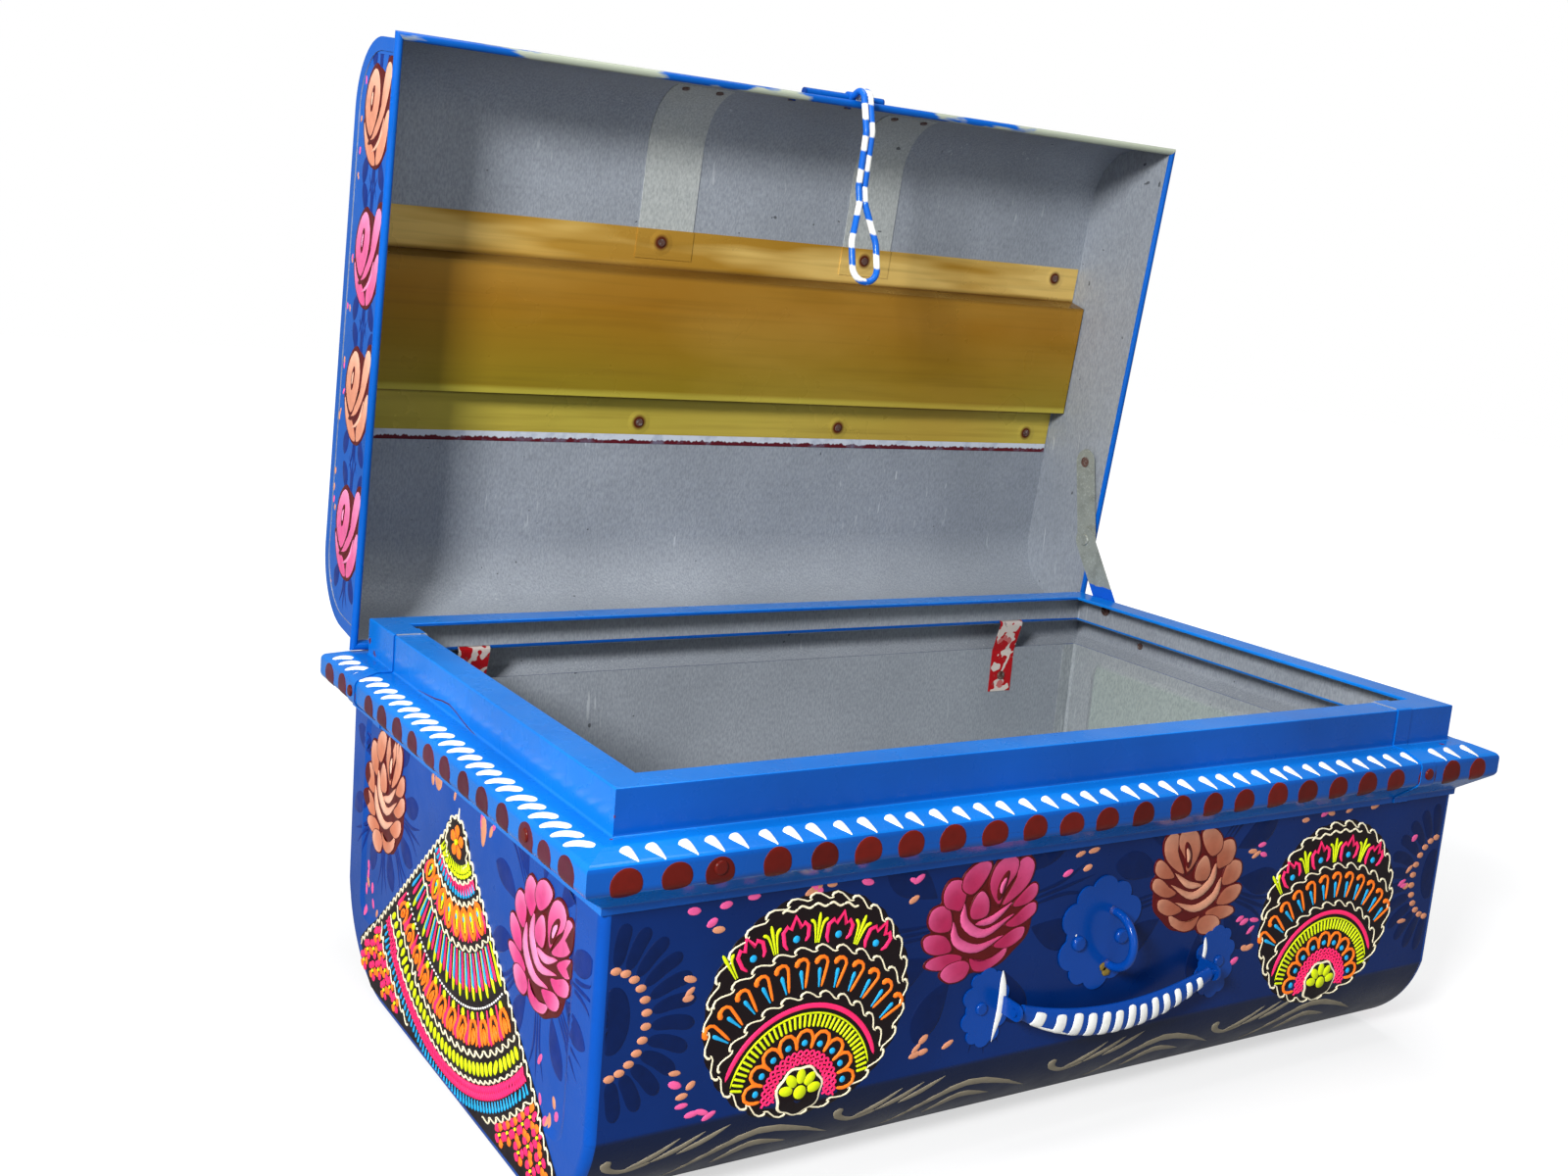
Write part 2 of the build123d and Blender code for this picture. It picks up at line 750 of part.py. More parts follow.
notch_half = strap_width / 2 + notch_clearance
channel_rivet_planes = [
    Plane(origin=lid_point(x, y, lid_crown), x_dir=(1, 0, 0), z_dir=lid_frame.z_dir)
    for x in channel_rivet_x
    for y in (-channel_back - channel_rivet_inset, -channel_front + channel_rivet_inset)
]
stiffener_rivet_planes = [
    lid_front_plane(x + side * stiffener_rivet_spread, stiffener_rivet_rise)
    for x in (stiffener_left_x, stiffener_right_x)
    for side in (-1, 1)
]
bracket_rivet_planes = [
    lid_front_plane(bracket_x + side * bracket_rivet_pitch / 2, bracket_rivet_rise)
    for side in (-1, 1)
]
curls_long = wired_edge(True)
curls_short = wired_edge(False)
shell_end = lid_end_x + lid_sheet

with BuildPart() as lid_wrap:
    extrude(lid_outline(0, 0, 0), amount=shell_end, both=True)
    extrude(lid_outline(lid_sheet, -1, 0), amount=shell_end, both=True, mode=Mode.SUBTRACT)
    for side in (-1, 1):
        inner = lid_outline(band_width, -1, side * shell_end)
        extrude(lid_outline(0, band_start, side * shell_end), amount=side * lid_sheet)
        extrude(inner, amount=side * lid_sheet, mode=Mode.SUBTRACT)
    add(curls_long)
    for side in (-1, 1):
        middle = side * hinge_offset
        lid_block(
            (middle - notch_half, middle + notch_half),
            (-2 * bead_radius, 2 * bead_radius),
            (-2 * bead_radius, notch_depth),
            mode=Mode.SUBTRACT,
        )
    punch(channel_rivet_planes + stiffener_rivet_planes + bracket_rivet_planes, shank_hole)
save(lid_wrap.part, "lid_wrap")

stay_lid_plane = Plane(
    origin=lid_point(lid_end_x + lid_sheet, -stay_lid_forward, stay_lid_rise),
    x_dir=lid_frame.y_dir,
    z_dir=(1, 0, 0),
)
with BuildPart() as lid_end_right:
    extrude(lid_outline(lid_sheet, 0, lid_end_x), amount=lid_sheet)
    add(curls_short[1])
    punch([stay_lid_plane], stay_pin_radius + shank_clearance)
save(lid_end_right.part, "lid_end_right")

with BuildPart() as lid_end_left:
    extrude(lid_outline(lid_sheet, 0, -lid_end_x), amount=-lid_sheet)
    add(curls_short[0])
save(lid_end_left.part, "lid_end_left")

with BuildPart() as lid_edge_wire:
    with BuildLine(lid_level(0)) as wire_path:
        Polyline(
            (0, 0),
            (lid_wire_x, 0),
            (lid_wire_x, -lid_span),
            (-lid_wire_x, -lid_span),
            (-lid_wire_x, 0),
            (0, 0),
        )
    sweep(
        sections=disc(Plane(origin=wire_path.line @ 0, z_dir=(1, 0, 0)), wire_radius),
        path=wire_path.line,
        transition=Transition.RIGHT,
    )
save(lid_edge_wire.part, "lid_edge_wire")

# ================= inside the lid =================
crown_inside = lid_crown - lid_sheet
channel_end = lid_end_x - channel_end_gap
flange_face = crown_inside - channel_sheet
bridge_face = flange_face - stiffener_sheet
stiffener_half = stiffener_width / 2
box_back = -channel_back - channel_flange
box_front = -channel_front + channel_flange
box_floor = crown_inside - channel_depth


def channel_box(inset):
    """Raised middle of the channel in section."""
    with BuildSketch(lid_section(0)) as face:
        with BuildLine():
            Polyline(
                (box_back - inset, crown_inside + inset),
                (box_back - channel_slope - inset, box_floor + inset),
                (box_front + channel_slope + inset, box_floor + inset),
                (box_front + inset, crown_inside + inset),
                close=True,
            )
        make_face()
    return face.sketch


with BuildPart() as lid_channel:
    lid_block((-channel_end, channel_end), (-channel_front, -channel_back), (flange_face, crown_inside))
    extrude(channel_box(0), amount=channel_end, both=True)
    for x in (stiffener_left_x, stiffener_right_x):
        wide = stiffener_half + stiffener_gap + channel_sheet
        lid_block(
            (x - wide, x + wide),
            (-channel_front, -channel_front + stiffener_overlap + channel_sheet),
            (bridge_face, crown_inside),
        )
        tight = stiffener_half + stiffener_gap
        lid_block(
            (x - tight, x + tight),
            (-channel_front, -channel_front + stiffener_overlap),
            (bridge_face + channel_sheet, crown_inside),
            mode=Mode.SUBTRACT,
        )
    extrude(channel_box(channel_sheet), amount=channel_end, both=True, mode=Mode.SUBTRACT)
    punch(channel_rivet_planes, shank_hole)
save(lid_channel.part, "lid_channel")

with BuildPart() as channel_backing_strip:
    lid_block(
        (-channel_end, channel_end),
        (-channel_back, -channel_back + backing_width),
        (crown_inside - backing_sheet, crown_inside),
    )
save(channel_backing_strip.part, "channel_backing_strip")

channel_studs = []
for plane in channel_rivet_planes:
    spot = lid_frame.to_local_coords(plane.origin)
    over_strap = min(abs(spot.X - stiffener_left_x), abs(spot.X - stiffener_right_x)) < stiffener_half
    at_front = spot.Y < -(channel_back + channel_front) / 2
    extra = stiffener_sheet if over_strap and at_front else 0.0
    channel_studs.append(rivet(plane, lid_sheet + channel_sheet + extra))
with BuildPart() as channel_rivets:
    add(channel_studs)
save(channel_rivets.part, "channel_rivets")


def stiffener(x):
    """Strap from under the channel's flange round the front curve."""
    inner = lid_outline(lid_sheet + stiffener_sheet, -1, x)
    with BuildPart() as piece:
        extrude(lid_outline(lid_sheet, 0, x), amount=stiffener_half, both=True)
        extrude(inner, amount=stiffener_half, both=True, mode=Mode.SUBTRACT)
        lid_block(
            (x - stiffener_half, x + stiffener_half),
            (lid_front, -channel_front + stiffener_overlap - stiffener_gap),
            (stiffener_end, lid_crown),
            mode=Mode.INTERSECT,
        )
        punch(channel_rivet_planes + stiffener_rivet_planes, shank_hole)
    return piece.part


save(stiffener(stiffener_left_x), "lid_stiffener_left")
save(stiffener(stiffener_right_x), "lid_stiffener_right")

stiffener_studs = [
    rivet(plane, lid_sheet + stiffener_sheet + curved_grip_extra) for plane in stiffener_rivet_planes
]
with BuildPart() as stiffener_rivets:
    add(stiffener_studs)
save(stiffener_rivets.part, "stiffener_rivets")

# ================= hasp bracket, pin and hasp =================
barrel_bore = pin_radius + pin_clearance
barrel_outer = barrel_bore + barrel_sheet
bracket_left = bracket_x - bracket_width / 2
bracket_right = bracket_x + bracket_width / 2
eye_half = hasp_neck_gap / 2 + hasp_wire + hasp_eye_margin
web_mid = barrel_bore + barrel_sheet / 2
web_turn = radians(web_angle)
web_seat = Vector(barrel_y + web_mid * cos(web_turn), barrel_rise + web_mid * sin(web_turn))
web_foot = Vector(lid_front - bracket_sheet / 2, barrel_rise + web_height)
web_run = (web_foot - web_seat).normalized()
web_side = Vector(-web_run.Y, web_run.X) * (barrel_sheet / 2)
bracket_start = lid_section(bracket_left)

with BuildPart() as hasp_bracket:
    extrude(lid_outline(-bracket_sheet, 0, bracket_left), amount=bracket_width)
    extrude(lid_outline(0, -1, bracket_left), amount=bracket_width, mode=Mode.SUBTRACT)
    lid_block(
        (bracket_left, bracket_right),
        (lid_front - 2 * bracket_sheet, lid_front + lid_corner_radius / 2),
        (bracket_bottom, bracket_top),
        mode=Mode.INTERSECT,
    )
    with BuildSketch(bracket_start) as bracket_web:
        with BuildLine():
            Polyline(
                web_foot + web_side,
                web_foot - web_side,
                web_seat - web_side,
                web_seat + web_side,
                close=True,
            )
        make_face()
        with Locations((barrel_y, barrel_rise)):
            Circle(barrel_outer)
            Circle(barrel_bore, mode=Mode.SUBTRACT)
    extrude(amount=bracket_width)
    window = eye_half + hasp_eye_gap
    lid_block(
        (hasp_x - window, hasp_x + window),
        (barrel_y - 2 * barrel_outer, lid_front),
        (barrel_rise - 2 * barrel_outer, bracket_bottom + barrel_sheet),
        mode=Mode.SUBTRACT,
    )
    punch(bracket_rivet_planes, shank_hole)
save(hasp_bracket.part, "hasp_bracket")

bracket_studs = []
for plane in bracket_rivet_planes:
    outside = plane.offset(bracket_sheet)
    bracket_studs.append(rivet(outside, lid_sheet + bracket_sheet + curved_grip_extra))
with BuildPart() as hasp_bracket_rivets:
    add(bracket_studs)
save(hasp_bracket_rivets.part, "hasp_bracket_rivets")


def barrel_plane(x):
    """Plane across the barrel's axis."""
    return Plane(origin=lid_point(x, barrel_y, barrel_rise), x_dir=lid_frame.y_dir, z_dir=lid_frame.x_dir)


with BuildPart() as hasp_pin:
    pin_start = bracket_left - pin_head_gap
    extrude(disc(barrel_plane(pin_start), pin_radius), amount=bracket_width + 2 * pin_head_gap)
    extrude(disc(barrel_plane(pin_start), pin_head), amount=-pin_head_length)
    extrude(disc(barrel_plane(bracket_right + pin_head_gap), pin_head), amount=pin_head_length)
save(hasp_pin.part, "hasp_pin")

hasp_turn = radians(hasp_rest_turn)


def hasp_place(across, out, drop):
    """A point of the hasp from its pivot: along the pin, outward and down when fastened."""
    y = barrel_y - out * cos(hasp_turn) + drop * sin(hasp_turn)
    z = barrel_rise - out * sin(hasp_turn) - drop * cos(hasp_turn)
    return lid_point(hasp_x + across, y, z)


hasp_neck = (hasp_neck_gap + hasp_wire) / 2
hasp_tip = hasp_reach - hasp_wire / 2
loop_lean = atan2(hasp_split_out - hasp_tip_out, hasp_tip - hasp_split)
join_out = hasp_split_out - hasp_join * sin(loop_lean)
join_drop = hasp_split + hasp_join * cos(loop_lean)
loop_length = hypot(join_out - hasp_tip_out, hasp_tip - join_drop)
loop_origin = hasp_place(0, join_out, join_drop)
loop_along = (hasp_place(0, hasp_tip_out, hasp_tip) - loop_origin).normalized()
loop_plane = Plane(origin=loop_origin, x_dir=(1, 0, 0), z_dir=Vector(1, 0, 0).cross(loop_along))
loop_flank = (
    (hasp_neck, 0),
    (hasp_neck, hasp_join),
    (hasp_spread, loop_length * 0.55),
    (hasp_spread, loop_length),
)
tip_bend = hasp_spread - 0.2
loop_bends = (hasp_bend, 3 * hasp_bend, tip_bend, tip_bend, 3 * hasp_bend, hasp_bend)


def hasp_neck_wire(across):
    """One of the two neck wires, from the eye out over the moulding and back to the wall."""
    with BuildPart() as wire:
        with BuildLine() as path:
            FilletPolyline(
                hasp_place(across, hasp_start, 0),
                hasp_place(across, hasp_out, -hasp_shoulder_rise),
                hasp_place(across, hasp_out, hasp_out_drop),
                hasp_place(across, hasp_split_out, hasp_split),
                hasp_place(across, join_out, join_drop),
                radius=(hasp_bend, hasp_bend, hasp_bend),
            )
        sweep(
            sections=disc(Plane(origin=path.line @ 0, z_dir=path.line % 0), hasp_wire / 2),
            path=path.line,
        )
    return wire.part


neck_wires = [hasp_neck_wire(-hasp_neck), hasp_neck_wire(hasp_neck)]
with BuildPart() as hasp_loop:
    with BuildLine(loop_plane) as loop_path:
        FilletPolyline(
            *[(-across, along) for across, along in loop_flank],
            *reversed(loop_flank),
            radius=loop_bends,
        )
    sweep(
        sections=disc(Plane(origin=loop_path.line @ 0, z_dir=loop_along), hasp_wire / 2),
        path=loop_path.line,
    )
with BuildPart() as hasp:
    extrude(disc(barrel_plane(hasp_x - eye_half), barrel_bore + hasp_eye_sheet), amount=2 * eye_half)
    add(neck_wires)
    add(hasp_loop.part)
    extrude(disc(barrel_plane(hasp_x - eye_half), barrel_bore), amount=2 * eye_half, mode=Mode.SUBTRACT)
save(hasp.part, "hasp")

# ================= hinge straps =================
loop_radius = wire_radius + hinge_clearance + strap_sheet / 2


def hinge_strap(x):
    """Strap riveted inside the back wall, out through the slot and round the lid's edge wire."""
    wall_y = half_depth - body_sheet - strap_sheet / 2
    lean_y = collar_y - rim_sheet - strap_inner_gap - strap_sheet / 2
    under = hinge_z - loop_radius
    end_angle = radians(strap_wrap - 90)
    middle_angle = radians(strap_wrap / 2 - 90)
    with BuildPart() as piece:
        with BuildSketch(Plane.YZ.offset(x)):
            with BuildLine():
                FilletPolyline(
                    (wall_y, ledge_height - strap_tail),
                    (wall_y, ledge_height - strap_lean_drop),
                    (lean_y, under - 2 * strap_bend),
                    (lean_y, under),
                    (hinge_y, under),
                    radius=(strap_bend, strap_bend, strap_bend),
                )
                ThreePointArc(
                    (hinge_y, under),
                    (hinge_y + loop_radius * cos(middle_angle), hinge_z + loop_radius * sin(middle_angle)),
                    (hinge_y + loop_radius * cos(end_angle), hinge_z + loop_radius * sin(end_angle)),
                )
                offset(amount=strap_sheet / 2, side=Side.BOTH, kind=Kind.ARC)
            make_face()
        extrude(amount=strap_width / 2, both=True)
        punch(hinge_rivet_planes, shank_hole, reach=2.0)
    return piece.part


save(hinge_strap(-hinge_offset), "hinge_strap_left")
save(hinge_strap(hinge_offset), "hinge_strap_right")

hinge_studs = [rivet(plane, strap_sheet + body_sheet) for plane in hinge_rivet_planes]
with BuildPart() as hinge_strap_rivets:
    add(hinge_studs)
save(hinge_strap_rivets.part, "hinge_strap_rivets")

# ================= folding stay =================
lower_inner = collar_x + stay_collar_gap
lower_outer = lower_inner + stay_link_sheet
upper_inner = lower_outer + stay_link_gap
upper_outer = upper_inner + stay_link_sheet
anchor = lid_point(0, -stay_lid_forward, stay_lid_rise)
reach_y = anchor.Y - stay_pivot_y
reach_z = anchor.Z - stay_pivot_z
reach = hypot(reach_y, reach_z)
along = (reach ** 2 + stay_lower_length ** 2 - stay_upper_length ** 2) / (2 * reach)
bulge = sqrt(stay_lower_length ** 2 - along ** 2)
knee_y = stay_pivot_y + (along * reach_y + bulge * reach_z) / reach
knee_z = stay_pivot_z + (along * reach_z - bulge * reach_y) / reach


def link_face(x, start, end):
    """Rounded strap outline between two pivots, upright at the given place along the length."""
    middle = ((start[0] + end[0]) / 2, (start[1] + end[1]) / 2)
    tilt = degrees(atan2(end[1] - start[1], end[0] - start[0]))
    with BuildSketch(Plane.YZ.offset(x)) as face:
        with Locations(Location((middle[0], middle[1], 0), (0, 0, tilt))):
            SlotCenterToCenter(hypot(end[0] - start[0], end[1] - start[1]), stay_link_width)
    return face.sketch


def stay_spot(x, y, z):
    return Plane(origin=(x, y, z), x_dir=(0, 1, 0), z_dir=(1, 0, 0))


pin_hole = stay_pin_radius + stay_pin_clearance
with BuildPart() as stay_lower_link:
    extrude(link_face(lower_inner, (stay_pivot_y, stay_pivot_z), (knee_y, knee_z)), amount=stay_link_sheet)
    punch([stay_spot(lower_inner, stay_pivot_y, stay_pivot_z)], pin_hole)
    extrude(disc(stay_spot(lower_outer, knee_y, knee_z), knee_head), amount=knee_half)
    extrude(disc(stay_spot(lower_inner, knee_y, knee_z), knee_head), amount=-knee_dome)
    knee_edge = stay_lower_link.edges().sort_by(Axis.X)[0]
    fillet(knee_edge, knee_dome * dome_round)
save(stay_lower_link.part, "stay_lower_link")

with BuildPart() as stay_upper_link:
    extrude(link_face(upper_inner, (anchor.Y, anchor.Z), (knee_y, knee_z)), amount=stay_link_sheet)
    punch([stay_spot(upper_inner, anchor.Y, anchor.Z)], pin_hole)
    extrude(disc(stay_spot(upper_inner, knee_y, knee_z), knee_head), amount=-knee_half)
    extrude(disc(stay_spot(upper_outer, knee_y, knee_z), knee_head), amount=knee_dome)
    knee_edge = stay_upper_link.edges().sort_by(Axis.X)[-1]
    fillet(knee_edge, knee_dome * dome_round)
save(stay_upper_link.part, "stay_upper_link")

with BuildPart() as stay_pivot_rivet:
    tail_start = collar_x - rim_sheet
    head_start = lower_outer + stay_play
    tail_plane = stay_spot(tail_start, stay_pivot_y, stay_pivot_z)
    shoulder_plane = stay_spot(collar_x, stay_pivot_y, stay_pivot_z)
    head_plane = stay_spot(head_start, stay_pivot_y, stay_pivot_z)
    extrude(disc(tail_plane, stay_pin_radius), amount=head_start - tail_start)
    extrude(disc(tail_plane, stay_head), amount=-stay_dome)
    extrude(disc(shoulder_plane, stay_shoulder), amount=stay_collar_gap - stay_play)
    extrude(disc(head_plane, stay_head), amount=stay_dome)
save(stay_pivot_rivet.part, "stay_pivot_rivet")

with BuildPart() as stay_anchor_rivet:
    inner_head = upper_inner - stay_play
    outside = lid_end_x + lid_sheet
    shoulder_start = upper_outer + stay_play
    inner_plane = stay_spot(inner_head, anchor.Y, anchor.Z)
    extrude(disc(inner_plane, stay_pin_radius), amount=outside - inner_head)
    extrude(disc(inner_plane, stay_head), amount=2 * stay_play - stay_link_gap)
    lid_shoulder = disc(stay_spot(shoulder_start, anchor.Y, anchor.Z), stay_shoulder)
    extrude(lid_shoulder, amount=lid_end_x - shoulder_start)
    extrude(disc(stay_spot(outside, anchor.Y, anchor.Z), stay_head), amount=stay_dome)
save(stay_anchor_rivet.part, "stay_anchor_rivet")
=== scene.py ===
import logging
from dataclasses import dataclass, replace
from enum import Enum
from typing import Callable, ClassVar, Iterable, Optional, Sequence

import bpy
import numpy as np
from mathutils import Matrix, Vector


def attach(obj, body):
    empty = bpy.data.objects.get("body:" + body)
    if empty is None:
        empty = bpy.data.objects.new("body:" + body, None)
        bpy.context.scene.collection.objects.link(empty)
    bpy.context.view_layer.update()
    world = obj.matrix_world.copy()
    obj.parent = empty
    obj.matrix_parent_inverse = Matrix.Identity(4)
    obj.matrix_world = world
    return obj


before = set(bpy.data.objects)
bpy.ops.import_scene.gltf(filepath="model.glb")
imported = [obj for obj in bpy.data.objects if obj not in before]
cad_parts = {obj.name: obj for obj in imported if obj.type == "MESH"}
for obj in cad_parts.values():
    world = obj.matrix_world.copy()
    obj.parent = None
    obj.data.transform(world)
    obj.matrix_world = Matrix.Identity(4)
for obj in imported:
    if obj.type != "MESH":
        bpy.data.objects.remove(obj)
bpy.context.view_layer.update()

log = logging.getLogger("painted_trunk")

Array = np.ndarray
Point = tuple[float, float]
Limits = tuple[float, float, float, float]
Material = bpy.types.Material
Socket = bpy.types.NodeSocket

MM = 0.001
TINY = 1e-9
ANYWHERE: Limits = (-1e3, 1e3, -1e3, 1e3)

# Places of the CAD model, in millimetres.
HALF_LENGTH = 305.0
HALF_DEPTH = 186.5
LEDGE = 211.0
HINGE = np.array([0.0, 187.9, 214.5])
LEAN = np.radians(83.3)
LID_BACK = np.array([0.0, np.cos(LEAN), -np.sin(LEAN)])
LID_UP = np.array([0.0, np.sin(LEAN), np.cos(LEAN)])
LID_SPAN = 375.8
LID_CROWN = 77.5
LID_CORNER = 45.0
LID_END = 304.6

RIGHT = np.array([1.0, 0.0, 0.0])
BACK = np.array([0.0, 1.0, 0.0])
UP = np.array([0.0, 0.0, 1.0])
ORIGIN = np.zeros(3)


class Hue(Enum):
    """The sign painter's colours, as sRGB codes."""

    CREAM = "EDE3C2"
    PINK = "FF2C6C"
    ORANGE = "FF7B1F"
    LIME = "D2E312"
    SKY = "1FA3DC"
    BLACK = "140B0D"
    WHITE = "F6F6F1"
    NAVY = "042A7C"
    NAVY_DEEP = "061A50"
    MAROON = "5A1212"
    BRICK = "64150D"
    ROSE_DEEP = "D42C78"
    ROSE = "FFA0CC"
    PEACH_DEEP = "CF7450"
    PEACH = "FFC8AC"
    # Darker copies of the rose and peach tones for the front wall's roses: painted shade.
    ROSE_DEEP_SHADED = "A81A48"
    ROSE_SHADED = "E8669C"
    PEACH_DEEP_SHADED = "A2553C"
    PEACH_SHADED = "DFA284"
    # Darker copy of the leaf navy for the front wall: painted shade.
    NAVY_SHADED = "021A4C"
    PLUM = "5C2234"
    SALMON = "DC9470"
    CANDY = "F2609E"
    TAN = "8F8672"
    SOLDER = "8A7434"

    @property
    def rgb(self) -> Array:
        """Linear red, green and blue."""
        return np.array(linear(self.value)[:3])


def linear(code: str) -> tuple[float, float, float, float]:
    """Turns an sRGB hex code into a linear colour.

    Args:
        code: six hex digits.

    Returns:
        Red, green, blue and an alpha of one.
    """
    parts = [int(code[i : i + 2], 16) / 255 for i in (0, 2, 4)]
    parts = [p / 12.92 if p <= 0.04045 else ((p + 0.055) / 1.055) ** 2.4 for p in parts]
    return parts[0], parts[1], parts[2], 1.0


# Surfaces


def directions(lines: Array) -> Array:
    """Unit tangents of lines whose points lie along the last axis but one."""
    tangent = np.gradient(lines, axis=-2)
    return tangent / np.maximum(np.linalg.norm(tangent, axis=-1, keepdims=True), TINY)


def running_length(line: Array) -> Array:
    """Length of a line from its start to each of its points."""
    return np.concatenate([[0.0], np.cumsum(np.linalg.norm(np.diff(line, axis=0), axis=1))])


class Surface:
    """A place to paint on: (u, v) and a lift off it, in millimetres, give points of the row frame."""

    limits: Limits = ANYWHERE

    def keep_on(self, uv: Array) -> Array:
        """Holds (u, v) inside the limits (u0, u1, v0, v1), so that no stroke leaves the sheet."""
        u0, u1, v0, v1 = self.limits
        return np.stack([np.clip(uv[..., 0], u0, u1), np.clip(uv[..., 1], v0, v1)], -1)

    def place(self, u: Array, v: Array, lift: Array) -> Array:
        """Gives the points, shaped as u with a last axis of three."""
        raise NotImplementedError


@dataclass
class Section(Surface):
    """A section line carried straight along.

    The point is origin + along * u + out * d(v) + up * h(v), moved by the lift along the line's normal,
    where (d, h) is the line and v the length run on it.
    """

    origin: Array
    along: Array
    out: Array
    up: Array
    line: Array
    start: float = 0.0
    step: float = 0.5
    limits: Limits = ANYWHERE

    def __post_init__(self) -> None:
        """Divides the line evenly and works out its normals."""
        run = running_length(self.line)
        even = np.arange(0.0, run[-1] + self.step, self.step)
        self.points = np.stack([np.interp(even, run, self.line[:, i]) for i in (0, 1)], 1)
        tangent = directions(self.points)
        self.normals = np.stack([tangent[:, 1], -tangent[:, 0]], 1)
        self.run = even + self.start

    def place(self, u: Array, v: Array, lift: Array) -> Array:
        """Points of the carried line, lifted along its normal.

        Args:
            u: places along the straight way.
            v: lengths on the line.
            lift: heights over the line.

        Returns:
            The points, with a last axis of three.
        """
        d, h = (
            np.interp(v, self.run, self.points[:, i]) + lift * np.interp(v, self.run, self.normals[:, i])
            for i in (0, 1)
        )
        parts = (u, self.along), (d, self.out), (h, self.up)
        return self.origin + sum(value[..., None] * axis for value, axis in parts)


@dataclass
class PressedEnd(Surface):
    """An end pan: a plane at x = side * half length whose bevelled field is pressed in.

    The depth is emboss * clip(inside / bevel, 0, 1), where inside is the distance to the rounded frame.
    """

    side: float
    emboss: float = 1.6
    bevel: float = 5.0
    half_wide: float = 160.5
    half_tall: float = 68.5
    middle: float = 112.5
    corner: float = 14.0
    limits: Limits = (-180.5, 180.5, 5.5, 177.0)

    def place(self, u: Array, v: Array, lift: Array) -> Array:
        """Points of the pan.

        Args:
            u: places to the viewer's right.
            v: heights over the ground.
            lift: heights over the sheet.

        Returns:
            The points, with a last axis of three.
        """
        q = np.stack([np.abs(u) - self.half_wide, np.abs(v - self.middle) - self.half_tall], -1) + self.corner
        inside = self.corner - np.linalg.norm(np.maximum(q, 0.0), axis=-1) - np.minimum(q.max(-1), 0.0)
        depth = self.emboss * np.clip(inside / self.bevel, 0.0, 1.0)
        x = self.side * (HALF_LENGTH - depth + lift)
        return np.stack([x, self.side * u, v + 0.0 * u], -1)


@dataclass
class Plane(Surface):
    """A flat place: the point is origin + right * u + up * v + (right x up) * lift."""

    origin: Array
    right: Array
    up: Array
    limits: Limits = ANYWHERE

    def place(self, u: Array, v: Array, lift: Array) -> Array:
        """Points of the plane."""
        out = np.cross(self.right, self.up)
        return self.origin + u[..., None] * self.right + v[..., None] * self.up + lift[..., None] * out


@dataclass
class Bail(Surface):
    """The handle's grip: ellipses carried round an arc.

    A point turns round its ellipse by v / girth, where tall and thick are the ellipse's two widths at the
    grip's ends and at its middle.
    """

    pivot_x: float = 16.25
    pivot_y: float = -198.5
    pivot_z: float = 91.0
    half: float = 71.15
    bow: float = 15.5
    tall: tuple[float, float] = (8.0, 17.5)
    thick: tuple[float, float] = (5.4, 7.0)
    girth: float = 7.0

    def place(self, u: Array, v: Array, lift: Array) -> Array:
        """Points of the grip.

        Args:
            u: places in x.
            v: lengths from the middle of the front, up over the upper edge and down under the lower one.
            lift: heights over the grip.

        Returns:
            The points, with a last axis of three.
        """
        radius = (self.half**2 + self.bow**2) / (2 * self.bow)
        angle = np.arcsin(np.clip((u - self.pivot_x) / radius, -1, 1))
        full = 1 - (angle / np.arcsin(self.half / radius)) ** 2
        a = (self.thick[0] + (self.thick[1] - self.thick[0]) * full) / 2
        b = (self.tall[0] + (self.tall[1] - self.tall[0]) * full) / 2
        turn = v / self.girth
        toward, rise = -(a + lift) * np.cos(turn), (b + lift) * np.sin(turn)
        low = self.pivot_z - self.bow + radius * (1 - np.cos(angle))
        x = u - rise * np.sin(angle)
        return np.stack([x, self.pivot_y + toward, low + rise * np.cos(angle)], -1)


def rounded(corners: Sequence[tuple[float, float]], radii: Sequence[float], steps: int = 12) -> Array:
    """Line through corners, each inner corner turned on an arc.

    An arc is centre + (sin((1-t)s) p + sin(t s) q) / sin(s) between its ends p and q over the sweep s.

    Args:
        corners: the corner points.
        radii: one radius for each inner corner.
        steps: points on an arc.

    Returns:
        The points of the line.
    """
    c = [np.array(p, float) for p in corners]
    line = [c[0][None]]
    for before, corner, after, radius in zip(c, c[1:], c[2:], radii):
        a, b = (w / np.linalg.norm(w) for w in (before - corner, after - corner))
        half = np.arccos(np.clip(a @ b, -1, 1)) / 2
        middle = corner + (a + b) / np.linalg.norm(a + b) * radius / np.sin(half)
        p, q = (corner + w * radius / np.tan(half) - middle for w in (a, b))
        sweep = np.pi - 2 * half
        t = np.linspace(0, 1, steps)[:, None]
        line.append(middle + (np.sin((1 - t) * sweep) * p + np.sin(t * sweep) * q) / np.sin(sweep))
    line.append(c[-1][None])
    return np.vstack(line)


